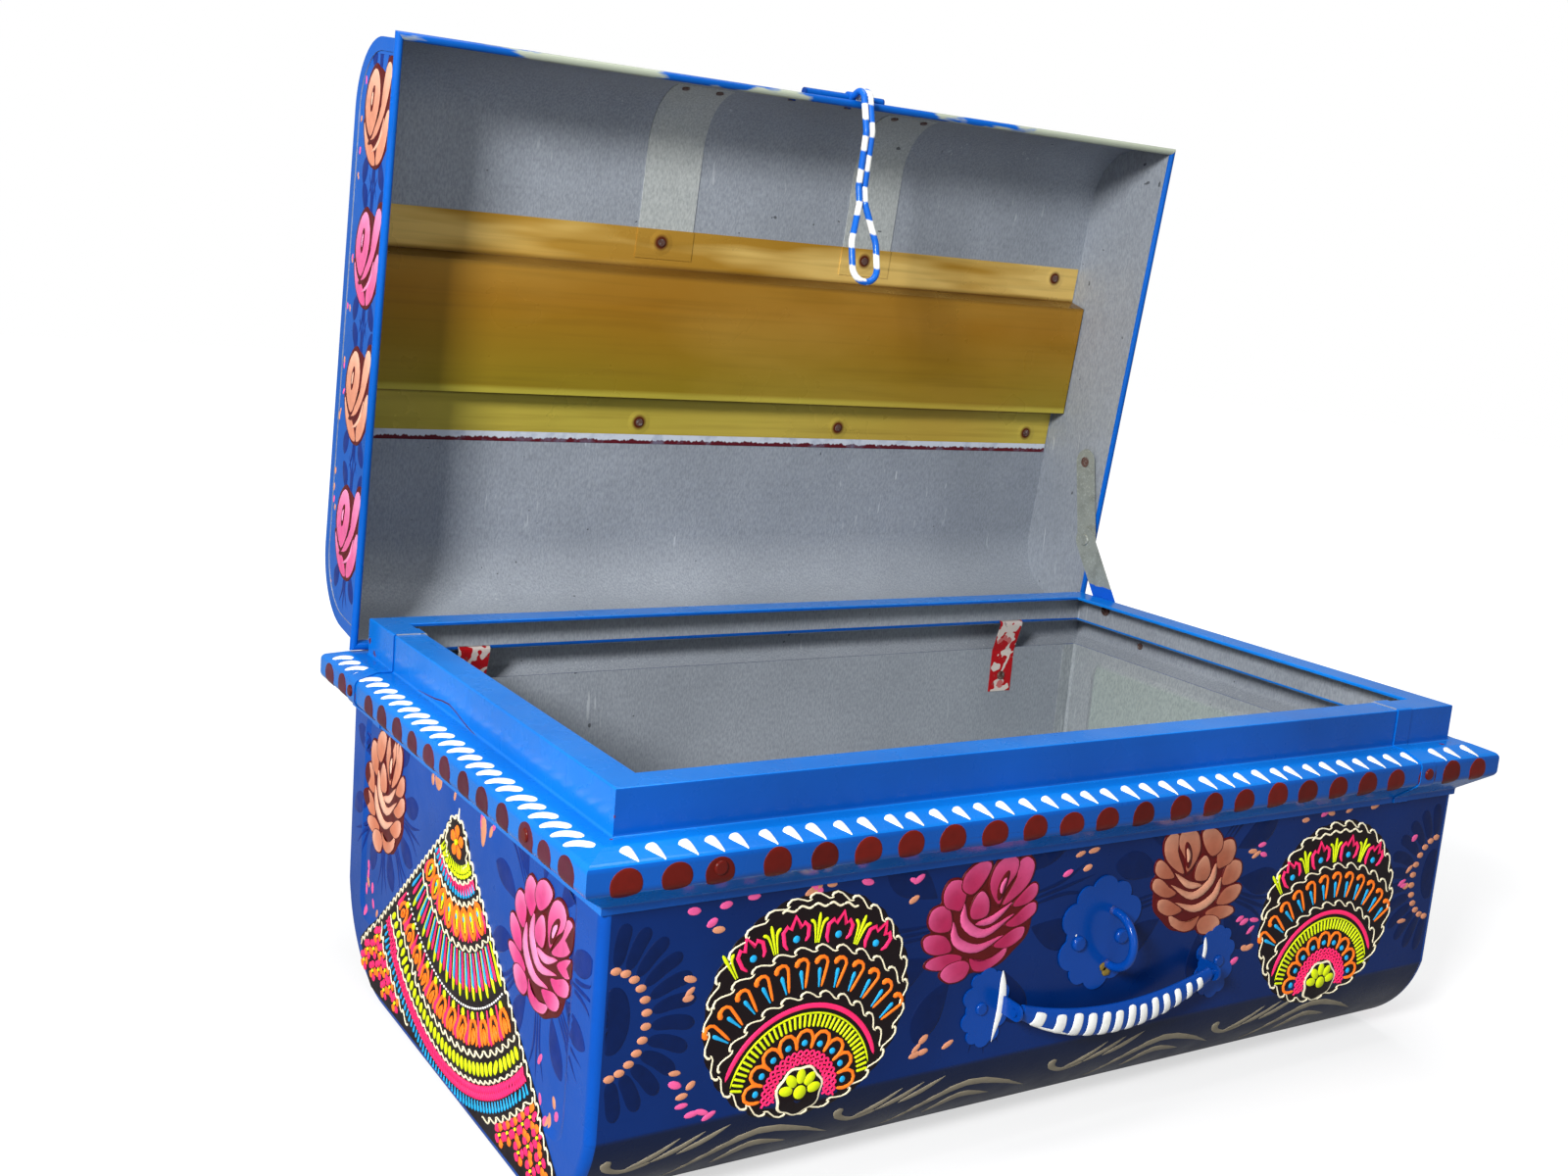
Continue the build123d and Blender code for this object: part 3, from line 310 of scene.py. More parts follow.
class Places:
    """The painted surfaces of the trunk."""

    CURVE = 75.0
    CREASE = 60.0
    CURVE_MIDDLE = 113.02
    WALL_TOP = 189.0
    LID_FRONT, LID_REAR = 374.0, 1.8

    @classmethod
    def wall(cls, side: float) -> Section:
        """Front or back wall; v is the height above the crease and the length below it.

        Args:
            side: -1 for the front, 1 for the back.

        Returns:
            The wall, from under the curve up to the rim.
        """
        low = np.arcsin((cls.CURVE - cls.CREASE) / cls.CURVE)
        angle = np.linspace(np.pi / 2, low, 60)
        arc = np.stack([cls.CURVE_MIDDLE + cls.CURVE * np.cos(angle), cls.CURVE * (1 - np.sin(angle))], 1)
        line = np.vstack([[(0.0, 0.0)], arc, [(HALF_DEPTH, cls.WALL_TOP)]])
        length = cls.CURVE_MIDDLE + cls.CURVE * (np.pi / 2 - low)
        start = cls.CREASE - length
        limits = (-299.0, 299.0, start + 9, 177.0)
        return Section(ORIGIN, -side * RIGHT, side * BACK, UP, line, start, limits=limits)

    @staticmethod
    def rim(out: Array) -> Section:
        """Rim on one side, from the lip over the moulding and up the collar; v is 0 at the lip's end.

        Args:
            out: the way that the side looks.

        Returns:
            The rim's section, carried along the side.
        """
        moulding = [(0.8, -35), (0.8, -31), (17.4, -18), (17.4, -4.6), (4, 0)]
        corners = moulding + [(-6, 0), (-6, 23.5), (-26, 23.5)]
        line = rounded(corners, (2, 5, 4, 4, 1.5, 1))
        wall = HALF_LENGTH if abs(out[0]) > 0.5 else HALF_DEPTH
        return Section(UP * LEDGE + out * wall, np.cross(UP, out), out, UP, line)

    @staticmethod
    def lid_shell() -> Section:
        """Outside of the lid.

        Returns:
            The shell's section, from the front edge over the crown to the back edge.
        """
        front, back = Places.LID_FRONT, Places.LID_REAR
        corners = [(front, 0), (front, LID_CROWN), (back, LID_CROWN), (back, 0)]
        line = rounded(corners, (LID_CORNER, LID_CORNER), 30)
        return Section(HINGE, RIGHT, -LID_BACK, LID_UP, line, limits=(-303.0, 303.0, 6.0, 478.0))

    @staticmethod
    def lid_end(side: float) -> Plane:
        """Lid end; v runs to the front, and u to the crown on the right end and from it on the left."""
        across = (3.5, 73.5) if side > 0 else (-73.5, -3.5)
        return Plane(HINGE + RIGHT * side * LID_END, LID_UP * side, -LID_BACK, (*across, 12.0, 364.0))


# Strokes


def round_head(t: Array, reach: float) -> Array:
    """Quarter ellipse that rises from 0 to 1 over the first part of a stroke."""
    return np.sqrt(np.clip(1 - (1 - np.minimum(t / reach, 1)) ** 2, 0, 1))


def round_ends(t: Array, power: int) -> Array:
    """1 along a stroke and 0 at both ends: an ellipse at power 2, blunter with a higher power."""
    return np.sqrt(np.clip(1 - np.abs(2 * t - 1) ** power, 0, 1))


class Taper(Enum):
    """How a stroke's width goes from its start to its end."""

    LINE = "line"
    DROP = "drop"
    HOOK = "hook"
    LEAF = "leaf"
    PETAL = "petal"
    BEAN = "bean"
    OVAL = "oval"
    COMMA = "comma"

    def widths(self, t: Array) -> Array:
        """Share of the full width along a stroke.

        Args:
            t: places from 0 at the head to 1 at the tail.

        Returns:
            The shares, never quite zero.
        """
        if self is Taper.DROP:
            share = round_head(t, 0.34) * (1 - 0.72 * t**0.8)
        elif self is Taper.COMMA:
            share = round_head(t, 0.3) * (1 - 0.9 * np.clip((t - 0.4) / 0.6, 0, 1) ** 1.5)
        elif self is Taper.HOOK:
            share = round_head(t, 0.1) * (1.25 - 0.62 * np.minimum(t / 0.45, 1)) * round_ends(t, 14)
        elif self is Taper.LEAF:
            share = np.sin(np.pi * t**0.85) ** 0.75
        elif self is Taper.PETAL:
            share = np.sin(np.pi * np.clip(t, 0, 1) ** 1.35) ** 0.62
        elif self is Taper.BEAN:
            share = round_ends(t, 4) * (1 - 0.22 * t)
        elif self is Taper.OVAL:
            share = round_ends(t, 2)
        else:
            share = round_ends(t, 14)
        return np.maximum(np.nan_to_num(share), 0.03)


@dataclass(frozen=True)
class Stroke:
    """One stroke of a motif: points from its head, half width in millimetres, colour and shape."""

    points: tuple[Point, ...]
    width: float
    hue: Hue
    taper: Taper = Taper.LINE
    height: float = 0.55


Motif = tuple[Stroke, ...]


def catmull_rom(p: Array, i: Array, f: Array) -> Array:
    """Catmull-Rom points between p[i + 1] and p[i + 2], at the share f of the way.

    Args:
        p: the points to pass through, taken round again past the last.
        i: number of the point before each stretch.
        f: (n, 1) shares of the stretch.

    Returns:
        The points.
    """
    a, b, c, d = (p[(i + k) % len(p)] for k in range(4))
    return 0.5 * (2 * b + (c - a) * f + (2 * a - 5 * b + 4 * c - d) * f**2 + (3 * b - a - 3 * c + d) * f**3)


def flowing(points: Sequence[Point], count: int = 13) -> tuple[Array, Array]:
    """Catmull-Rom line through the points, with its steps close together at both ends.

    Args:
        points: at least two points.
        count: how many points the line gets.

    Returns:
        The line (count, 2) and its parameter from 0 to 1.
    """
    p = np.array(points, float)
    p = np.vstack([2 * p[0] - p[1], p, 2 * p[-1] - p[-2]])
    share = 0.5 - 0.5 * np.cos(np.linspace(0, np.pi, count))
    t = share * (len(points) - 1)
    i = np.minimum(t.astype(int), len(points) - 2)
    return catmull_rom(p, i, (t - i)[:, None]), share


def compass(degrees: float) -> tuple[Array, Array]:
    """Unit vectors along a direction, in degrees from up, clockwise, and to its right."""
    a = np.radians(degrees)
    return np.array([np.sin(a), np.cos(a)]), np.array([np.cos(a), -np.sin(a)])


class Curve:
    """A line in the paint's own (u, v), followed by its length; the left side is the offset's plus side."""

    def __init__(self, line: Array) -> None:
        """Keeps the line with its running length and left normals.

        Args:
            line: (n, 2) points.
        """
        self.line = np.asarray(line, float)
        self.run = running_length(self.line)
        tangent = directions(self.line)
        self.left = np.stack([-tangent[:, 1], tangent[:, 0]], 1)

    @property
    def length(self) -> float:
        """Length of the whole line."""
        return float(self.run[-1])

    @classmethod
    def arc(cls, u: float, v: float, radius: float, start: float, end: float) -> "Curve":
        """Arc whose point is middle + radius * (sin a, cos a), with a in degrees from up, clockwise."""
        angle = np.radians(np.linspace(start, end, 240))
        return cls(np.stack([u + radius * np.sin(angle), v + radius * np.cos(angle)], 1))

    @classmethod
    def straight(cls, start: Point, end: Point) -> "Curve":
        """Straight line between two points."""
        return cls(np.linspace(start, end, 200))

    def at(self, along: Array, off: Array) -> Array:
        """Points beside the line.

        Args:
            along: lengths along the line.
            off: offsets to its left.

        Returns:
            The points, with a last axis of two.
        """
        parts = [
            np.interp(along, self.run, self.line[:, i]) + off * np.interp(along, self.run, self.left[:, i])
            for i in (0, 1)
        ]
        return np.stack(parts, -1)


class Brush:
    """Gathers the strokes painted on one surface and makes them one raised mesh.

    A stroke is a closed ribbon: its section is an arch whose feet go a little into the sheet.
    """

    ACROSS = np.array([-1.0, -0.72, 0.0, 0.72, 1.0])
    SINK = 0.12

    def __init__(self, surface: Surface) -> None:
        """Starts with nothing painted.

        Args:
            surface: the place to paint on.
        """
        self.surface = surface
        self.points: list[Array] = []
        self.faces: list[Array] = []
        self.paint: list[Array] = []
        self.count = 0

    def keep(self, uv: Array, lift: Array, colour: Array, faces: Array, copies: int) -> None:
        """Places the points of equal copies and stores them with their triangles and colours.

        Args:
            uv: the copies' points on the surface, one copy after the other.
            lift: heights over the surface, as far as they broadcast.
            colour: colours, as far as they broadcast.
            faces: triangles of the first copy.
            copies: how many copies the points hold.
        """
        uv = self.surface.keep_on(uv)
        points = self.surface.place(uv[..., 0], uv[..., 1], np.broadcast_to(lift, uv.shape[:-1]))
        points = points.reshape(-1, 3) * MM
        each = len(points) // copies
        self.points.append(points)
        first = self.count + np.arange(copies)[:, None, None] * each
        self.faces.append((faces[None] + first).reshape(-1, 3))
        self.paint.append(np.broadcast_to(colour, uv.shape[:-1] + (3,)).reshape(-1, 3))
        self.count += len(points)

    def ribbons(self, paths: Array, widths: Array, colour: Array, height: float, lift: float = 0.0) -> None:
        """Paints strokes: path + left * width * a, lifted by height * sqrt(1 - a^2), a from -1 to 1.

        Args:
            paths: (strokes, steps, 2) middle lines.
            widths: (strokes, steps) half widths.
            colour: anything that broadcasts to (strokes, steps, across, 3).
            height: the arch's height.
            lift: height of the paint that the strokes lie on.
        """
        copies, rows, _ = paths.shape
        tangent = directions(paths)
        left = np.stack([-tangent[..., 1], tangent[..., 0]], -1)
        a = self.ACROSS
        uv = paths[:, :, None] + left[:, :, None] * (widths[:, :, None] * a)[..., None]
        arch = np.sqrt(1 - a**2)
        rise = np.clip(widths / np.maximum(widths.max(1, keepdims=True), TINY), 0.25, 1)
        raised = lift + height * arch * rise[..., None]
        raised = np.where(np.abs(a) > 0.99, -self.SINK, raised)
        cols = len(a)
        k, j = (g.ravel() for g in np.meshgrid(np.arange(rows - 1), np.arange(cols), indexing="ij"))
        n0, n1 = k * cols + j, k * cols + (j + 1) % cols
        cap = np.arange(1, cols - 1)
        end = (rows - 1) * cols
        faces = np.vstack([
            np.stack([n0, n0 + cols, n1 + cols], 1),
            np.stack([n0, n1 + cols, n1], 1),
            np.stack([0 * cap, cap, cap + 1], 1),
            np.stack([0 * cap + end, cap + 1 + end, cap + end], 1),
        ])
        self.keep(uv, raised, colour, faces, copies)

    def blobs(
        self,
        outlines: Array,
        colour: Array | Callable[[Array], Array],
        height: float,
        lift: float = 0.0,
        rings: int = 3,
    ) -> None:
        """Paints filled shapes: rings middle + (outline - middle) * r on top and again, in the sheet, below.

        Args:
            outlines: (shapes, around, 2) points, anticlockwise.
            colour: one colour, or a function of the (shapes, rings, around, 2) points.
            height: thickness of the paint.
            lift: height of the paint that it lies on.
            rings: rings between the edge and the middle.
        """
        copies, around, _ = outlines.shape
        middle = outlines.mean(1, keepdims=True)
        inner = np.linspace(0.93, 0.0, rings + 1)[:-1]
        share = np.concatenate([[1.0, 0.975], inner, [0.004, 0.004], inner[::-1]])
        top = len(inner) + 3
        uv = middle[:, None] + (outlines - middle)[:, None] * share[None, :, None, None]
        level = np.full(len(share), lift + height)
        level[0], level[1] = -self.SINK, lift + height * 0.7
        level[top:] = -self.SINK
        rows = len(share)
        r, i = (g.ravel() for g in np.meshgrid(np.arange(rows), np.arange(around), indexing="ij"))
        keep = r != top - 1
        r, i = r[keep], i[keep]
        after = (r + 1) % rows
        a, b = r * around + i, r * around + (i + 1) % around
        c, d = after * around + (i + 1) % around, after * around + i
        fan = np.arange(1, around - 1)
        crown, base = (top - 1) * around, top * around
        faces = np.vstack([
            np.stack([a, b, c], 1),
            np.stack([a, c, d], 1),
            np.stack([0 * fan + crown, fan + crown, fan + 1 + crown], 1),
            np.stack([0 * fan + base, fan + 1 + base, fan + base], 1),
        ])
        shade = colour(uv) if callable(colour) else colour
        self.keep(uv, level[None, :, None], shade, faces, copies)

    def motif(
        self, motif: Motif, curve: Curve, spots: Array, size: Point, lift: float = 0.0, steps: int = 13
    ) -> None:
        """Repeats a motif along a curve: x goes along the curve from each spot, y off to its left.

        Args:
            motif: the strokes.
            curve: the way to follow.
            spots: lengths along the curve.
            size: millimetres for one unit of x and of y.
            lift: height of the paint that the strokes lie on.
            steps: points on a stroke.
        """
        spots = np.atleast_1d(np.asarray(spots, float))
        for stroke in motif:
            line, share = flowing(stroke.points, steps)
            off = np.broadcast_to(line[:, 1] * size[1], (len(spots), steps))
            uv = curve.at(spots[:, None] + line[:, 0] * size[0], off)
            widths = np.broadcast_to(stroke.width * stroke.taper.widths(share), uv.shape[:2])
            self.ribbons(uv, widths, stroke.hue.rgb, stroke.height, lift)

    def free(
        self,
        points: Sequence[Point],
        width: float,
        hue: Hue,
        taper: Taper,
        height: float = 0.4,
        lift: float = 0.0,
        steps: int = 15,
    ) -> None:
        """Paints one stroke.

        Args:
            points: the points that it flows through, from its head.
            width: its half width.
            hue: its colour.
            taper: how its width goes.
            height: thickness of the paint.
            lift: height of the paint that it lies on.
            steps: points on the stroke.
        """
        line, share = flowing(points, steps)
        self.ribbons(line[None], (width * taper.widths(share))[None], hue.rgb, height, lift)

    def make(self, name: str, body: str, slot: str, material: Material) -> None:
        """Makes the mesh, with its colours in the attribute "paint", and lets it ride on a body.

        Args:
            name: the mesh's name.
            body: the body that it rides on.
            slot: the record's material slot; not used.
            material: its finish.
        """
        points, faces, paint = (np.concatenate(part) for part in (self.points, self.faces, self.paint))
        piece = new_piece(name, points, faces, body, material)
        layer = piece.data.color_attributes.new("paint", "FLOAT_COLOR", "POINT")
        rgba = np.concatenate([paint, np.ones((len(paint), 1))], 1)
        layer.data.foreach_set("color", rgba.astype(np.float32).ravel())


def new_piece(
    name: str, points: Array, faces: Array, body: str, material: Material
) -> bpy.types.Object:
    """Makes a smooth mesh object in the row frame that rides on a body.

    Args:
        name: the object's name.
        points: (n, 3) points in metres.
        faces: (m, 3) or (m, 4) corner numbers.
        body: the body that it rides on.
        material: its finish.

    Returns:
        The object.
    """
    mesh = bpy.data.meshes.new(name)
    mesh.from_pydata(points, [], faces)
    mesh.shade_smooth()
    mesh.materials.append(material)
    piece = bpy.data.objects.new(name, mesh)
    bpy.context.scene.collection.objects.link(piece)
    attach(piece, body)
    log.info("%s: %d points, %d faces, rides on %s", name, len(points), len(faces), body)
    return piece


# Motifs


def upright(half: float, width: float, hue: Hue, taper: Taper, height: float) -> Motif:
    """One straight stroke from half a unit's share above the middle to as far below it."""
    return (Stroke(((0.0, half), (0.0, -half)), width, hue, taper, height),)


def both_sides(stroke: Stroke) -> Motif:
    """A stroke and its mirror image."""
    return stroke, replace(stroke, points=tuple((-x, y) for x, y in stroke.points))


CURL: Motif = (
    Stroke(((0.02, -0.15), (0.04, 0.55), (0.3, 1.0), (0.62, 0.3), (0.9, -0.45), (1.12, -0.2)),
           0.78, Hue.CREAM, Taper.HOOK, 0.6),
)
WAVE: Motif = (
    Stroke(((0.0, 0.0), (0.25, 0.8), (0.5, 0.0), (0.75, -0.8), (1.02, 0.0)),
           0.7, Hue.CREAM, Taper.LINE, 0.55),
)
TULIP: Motif = (
    Stroke(((-0.72, -1.0), (-1.0, -0.45), (-0.92, 0.35), (-0.62, 0.5), (-0.4, 0.05), (-0.34, 0.62),
            (0.0, 1.0), (0.34, 0.62), (0.4, 0.05), (0.62, 0.5), (0.92, 0.35), (0.98, -0.3), (0.7, -0.72)),
           1.3, Hue.PINK, Taper.LINE, 0.75),
    Stroke(((0.0, -0.22), (0.0, -0.68)), 2.3, Hue.SKY, Taper.OVAL, 0.65),
)
SPRIG: Motif = (
    Stroke(((0.02, 1.0), (0.0, -0.95)), 1.5, Hue.LIME, Taper.DROP, 0.65),
    *both_sides(Stroke(((-0.95, 0.62), (-0.45, 0.25), (-0.22, -0.95)), 1.45, Hue.LIME, Taper.DROP, 0.65)),
)
HOOK: Motif = (
    Stroke(((-0.95, 0.5), (-0.75, 0.86), (-0.1, 0.96), (0.42, 0.72), (0.42, 0.1), (0.28, -0.95)),
           1.62, Hue.ORANGE, Taper.HOOK, 0.8),
    Stroke(((-0.42, 0.3), (-0.3, -0.2), (-0.1, -0.95)), 1.75, Hue.SKY, Taper.DROP, 0.65),
)
SCALLOP: Motif = (
    Stroke(((-0.98, -1.0), (-0.98, -0.1), (-0.62, 0.7), (0.0, 0.95), (0.62, 0.7), (0.98, -0.1), (0.98, -1.0)),
           1.1, Hue.ORANGE, Taper.LINE, 0.75),
    Stroke(((0.0, -0.05), (0.0, -0.7)), 2.1, Hue.SKY, Taper.OVAL, 0.65),
)
NET: Motif = both_sides(Stroke(((-0.5, -1.0), (0.5, 1.0)), 0.66, Hue.PINK, Taper.LINE, 0.5))
TICK = upright(1.0, 0.82, Hue.LIME, Taper.LINE, 0.6)
TICK_SHORT = upright(1.0, 0.9, Hue.LIME, Taper.DROP, 0.6)
DOT_WHITE = upright(0.5, 0.8, Hue.WHITE, Taper.LINE, 0.5)
DOT_LIME = upright(1.0, 2.25, Hue.LIME, Taper.OVAL, 0.8)
BIT_PINK = upright(-1.0, 1.6, Hue.PINK, Taper.DROP, 0.5)
BIT_SKY = upright(1.0, 1.7, Hue.SKY, Taper.DROP, 0.5)
PEACOCK: Motif = (
    Stroke(((0.0, 1.0), (-0.7, 0.25), (-0.72, -0.5), (0.0, -1.0), (0.72, -0.5), (0.7, 0.25), (0.0, 1.0)),
           1.5, Hue.ORANGE, Taper.LINE, 0.75),
    *both_sides(Stroke(((-1.08, -0.2), (-1.02, 0.55), (-0.62, 1.05)), 1.3, Hue.PINK, Taper.DROP, 0.65)),
    Stroke(((0.0, -0.72), (0.0, 0.5)), 2.5, Hue.LIME, Taper.DROP, 0.65),
    Stroke(((0.0, -0.55), (0.0, -0.1)), 1.25, Hue.SKY, Taper.OVAL, 0.95),
)
RAY: Motif = (
    Stroke(((-0.55, 0.98), (-0.52, -1.0)), 2.05, Hue.LIME, Taper.DROP, 0.7),
    Stroke(((0.0, 0.62), (0.0, -1.0)), 1.8, Hue.PINK, Taper.DROP, 0.65),
    Stroke(((0.45, 0.5), (0.4, -1.0)), 1.7, Hue.SKY, Taper.DROP, 0.65),
)
FLAME: Motif = (
    Stroke(((-0.62, 0.98), (-0.74, 0.3), (-0.5, -0.3), (0.0, -0.5), (0.5, -0.3), (0.74, 0.3), (0.62, 0.98)),
           1.4, Hue.ORANGE, Taper.LINE, 0.75),
    Stroke(((0.0, 0.9), (-0.24, 0.45), (0.0, 0.05), (0.24, 0.45), (0.0, 0.9)),
           1.0, Hue.ORANGE, Taper.LINE, 0.75),
    Stroke(((0.0, -0.42), (0.0, -0.98)), 2.2, Hue.LIME, Taper.OVAL, 0.85),
    Stroke(((1.08, 1.02), (1.08, -0.95)), 2.2, Hue.PINK, Taper.DROP, 0.7),
    Stroke(((0.82, 0.85), (1.04, -0.4)), 1.6, Hue.PINK, Taper.DROP, 0.7),
    Stroke(((1.34, 0.85), (1.12, -0.4)), 1.6, Hue.PINK, Taper.DROP, 0.7),
)
BLOSSOM: Motif = tuple(
    Stroke(tuple((r * np.cos(a), r * np.sin(a)) for r in (0.25, 0.95)), 3.0, hue, Taper.PETAL, 0.6)
    for a, hue in zip(np.radians(np.arange(18, 378, 72)), (Hue.PINK, Hue.ORANGE) * 3)
) + upright(0.12, 1.2, Hue.LIME, Taper.LINE, 0.8)
COMMA: Motif = (Stroke(((-0.6, 0.85), (-0.25, 0.35), (0.4, -1.0)), 3.8, Hue.WHITE, Taper.COMMA, 0.55),)
LONG_COMMA: Motif = (
    Stroke(((-0.75, -0.85), (-0.38, -0.05), (0.22, 0.48), (0.9, 0.8)), 3.15, Hue.WHITE, Taper.BEAN, 0.55),
)


@dataclass(frozen=True)
class Row:
    """One ring of a fan: a motif repeated round an arc."""

    radius: float
    motif: Motif
    pitch: float
    reach: float
    wide: float = 0.0
    shift: float = 0.5


@dataclass(frozen=True)
class Line:
    """One plain ring of a fan."""

    radius: float
    width: float
    hue: Hue


@dataclass
class Fan:
    """Rings of motifs round a middle, inside an outline given by its angle limit.

    The middle is (u, v), turn the direction that it opens to, in degrees from up, and lift the height of
    the ground that it lies on.
    """

    u: float
    v: float
    turn: float
    scale: float
    rows: tuple[Row | Line, ...]
    limit: Callable[[float], float]
    lift: float = 0.2

    def curve(self, radius: float, spare: float = 0.0) -> Curve:
        """Arc of one ring, as far as the outline lets it go."""
        reach = max(self.limit(radius) - spare, 3.0)
        return Curve.arc(self.u, self.v, radius * self.scale, self.turn - reach, self.turn + reach)

    def paint(self, brush: Brush) -> None:
        """Paints every ring.

        Args:
            brush: what it is painted with.
        """
        for row in self.rows:
            curve = self.curve(row.radius)
            if isinstance(row, Line):
                line = curve.line[:: max(1, len(curve.line) // 60)]
                widths = row.width * Taper.LINE.widths(np.linspace(0, 1, len(line)))
                brush.ribbons(line[None], widths[None], row.hue.rgb, 0.6, self.lift)
                continue
            count = max(1, int(round(curve.length / (row.pitch * self.scale))))
            pitch = curve.length / count
            wide = row.wide * self.scale if row.wide else pitch
            spots = (np.arange(count) + row.shift) * pitch
            brush.motif(row.motif, curve, spots, (wide, row.reach * self.scale), self.lift)


def circle(u: float, v: float, radius: float, count: int = 96, wave: float = 0.0, lobes: int = 24) -> Array:
    """Round outline radius * (1 + wave sin(lobes a)), anticlockwise.

    Args:
        u: middle across.
        v: middle upwards.
        radius: its radius.
        count: points round it.
        wave: height of its lobes, as a share of the radius.
        lobes: how many lobes it has.

    Returns:
        The (1, count, 2) outline.
    """
    a = np.linspace(0, 2 * np.pi, count, endpoint=False)
    r = radius * (1 + wave * np.sin(lobes * a))
    return np.stack([u + r * np.cos(a), v + r * np.sin(a)], 1)[None]


def oval(middle: Sequence[float], half: Point, count: int, wave: float = 0.0, lobes: int = 24) -> Array:
    """Oval outline of two half widths round a middle, anticlockwise, as (1, count, 2)."""
    return circle(0, 0, 1.0, count, wave, lobes) * half + np.asarray(middle)


@dataclass
class Medallion:
    """Round black medallion with a fan of neon rings over a small flower."""

    u: float
    v: float
    radius: float = 61.5
    turn: float = 0.0
    full: float = 61.5
    drop: float = 46.0
    border: float = 5.5
    curls: int = 28
    rows: tuple[Row | Line, ...] = (
        Row(99.8, WAVE, 9.5, 1.2, 0.0, 0.0),
        Row(87.6, TULIP, 24.6, 8.4, 7.6, 0.5),
        Row(87.6, SPRIG, 24.6, 8.2, 5.2, 0.0),
        Row(76.2, CURL, 12.0, 2.5, 0.0, 0.0),
        Row(64.0, HOOK, 10.6, 8.4, 4.6, 0.5),
        Row(51.6, CURL, 11.0, 2.4, 0.0, 0.0),
        Line(46.2, 1.6, Hue.PINK),
        Line(42.2, 0.6, Hue.LIME),
        Row(38.2, TICK, 2.9, 3.4),
        Row(28.2, SCALLOP, 10.2, 5.2, 5.1),
        Row(20.6, NET, 3.6, 1.9),
        Row(16.6, NET, 3.1, 1.9),
    )

    def limit(self, radius: float) -> float:
        """Angle in degrees at which a ring meets the medallion's edge.

        Args:
            radius: the ring's radius.

        Returns:
            The angle, by the law of cosines.
        """
        edge = self.full - self.border
        turn = (radius**2 + self.drop**2 - edge**2) / (2 * radius * self.drop)
        return float(np.degrees(np.arccos(np.clip(turn, -0.25, 1))))

    def paint(self, brush: Brush) -> None:
        """Paints the ground, the scrolled border, the rings and the flower.

        Args:
            brush: what it is painted with.
        """
        scale = self.radius / self.full
        middle = np.array([self.u, self.v]) - self.drop * scale * compass(self.turn)[0]
        brush.blobs(circle(self.u, self.v, self.radius, 120, 0.012), Hue.BLACK.rgb, 0.2)
        radius = self.radius - 3.4
        edge = Curve.arc(self.u, self.v, radius, self.turn - 200, self.turn + 190)
        pitch = 2 * np.pi * radius / self.curls
        brush.motif(CURL, edge, np.arange(self.curls) * pitch, (pitch, 2.5), 0.2, 11)
        Fan(middle[0], middle[1], self.turn, scale, self.rows, self.limit).paint(brush)
        for radius, hue, height in ((14.2, Hue.CREAM, 0.35), (13.2, Hue.BLACK, 0.42)):
            brush.blobs(circle(middle[0], middle[1], radius * scale, 60, 0.05, 7), hue.rgb, height, 0.2, 1)
        ring = circle(0, 0, 1.0, 24)[0]
        for angle in (-80.0, -40.0, 0.0, 40.0, 80.0):
            ray, side = compass(self.turn + angle)
            petal = middle + scale * ((8.4 + 4.2 * ring[:, 1:]) * ray + 2.75 * ring[:, :1] * side)
            brush.blobs(petal[None], Hue.LIME.rgb, 0.75, 0.2, 1)
        for radius, hue, height in ((5.0, Hue.BLACK, 0.8), (3.9, Hue.LIME, 1.0)):
            brush.blobs(circle(middle[0], middle[1], radius * scale, 24), hue.rgb, height, 0.2, 1)


@dataclass(frozen=True)
class Petal:
    """A filled petal of a painted rose on a unit circle: an anticlockwise outline that starts at its foot."""

    outline: tuple[Point, ...]
    tone: float = 0.0

    def shape(self, count: int = 26) -> Array:
        """Smooth closed outline: a Catmull-Rom line through the points and round again.

        Args:
            count: points round it.

        Returns:
            The (count, 2) outline.
        """
        p = np.array(self.outline, float)
        t = np.linspace(0, len(p), count, endpoint=False)
        return catmull_rom(p, t.astype(int) - 1, (t % 1)[:, None])


@dataclass(frozen=True)
class Sweep:
    """A long bent stroke of a painted rose: its points and half width on the unit circle."""

    points: tuple[Point, ...]
    width: float


class RoseKind(Enum):
    """The two painted roses."""

    OPEN = "open"
    BUD = "bud"


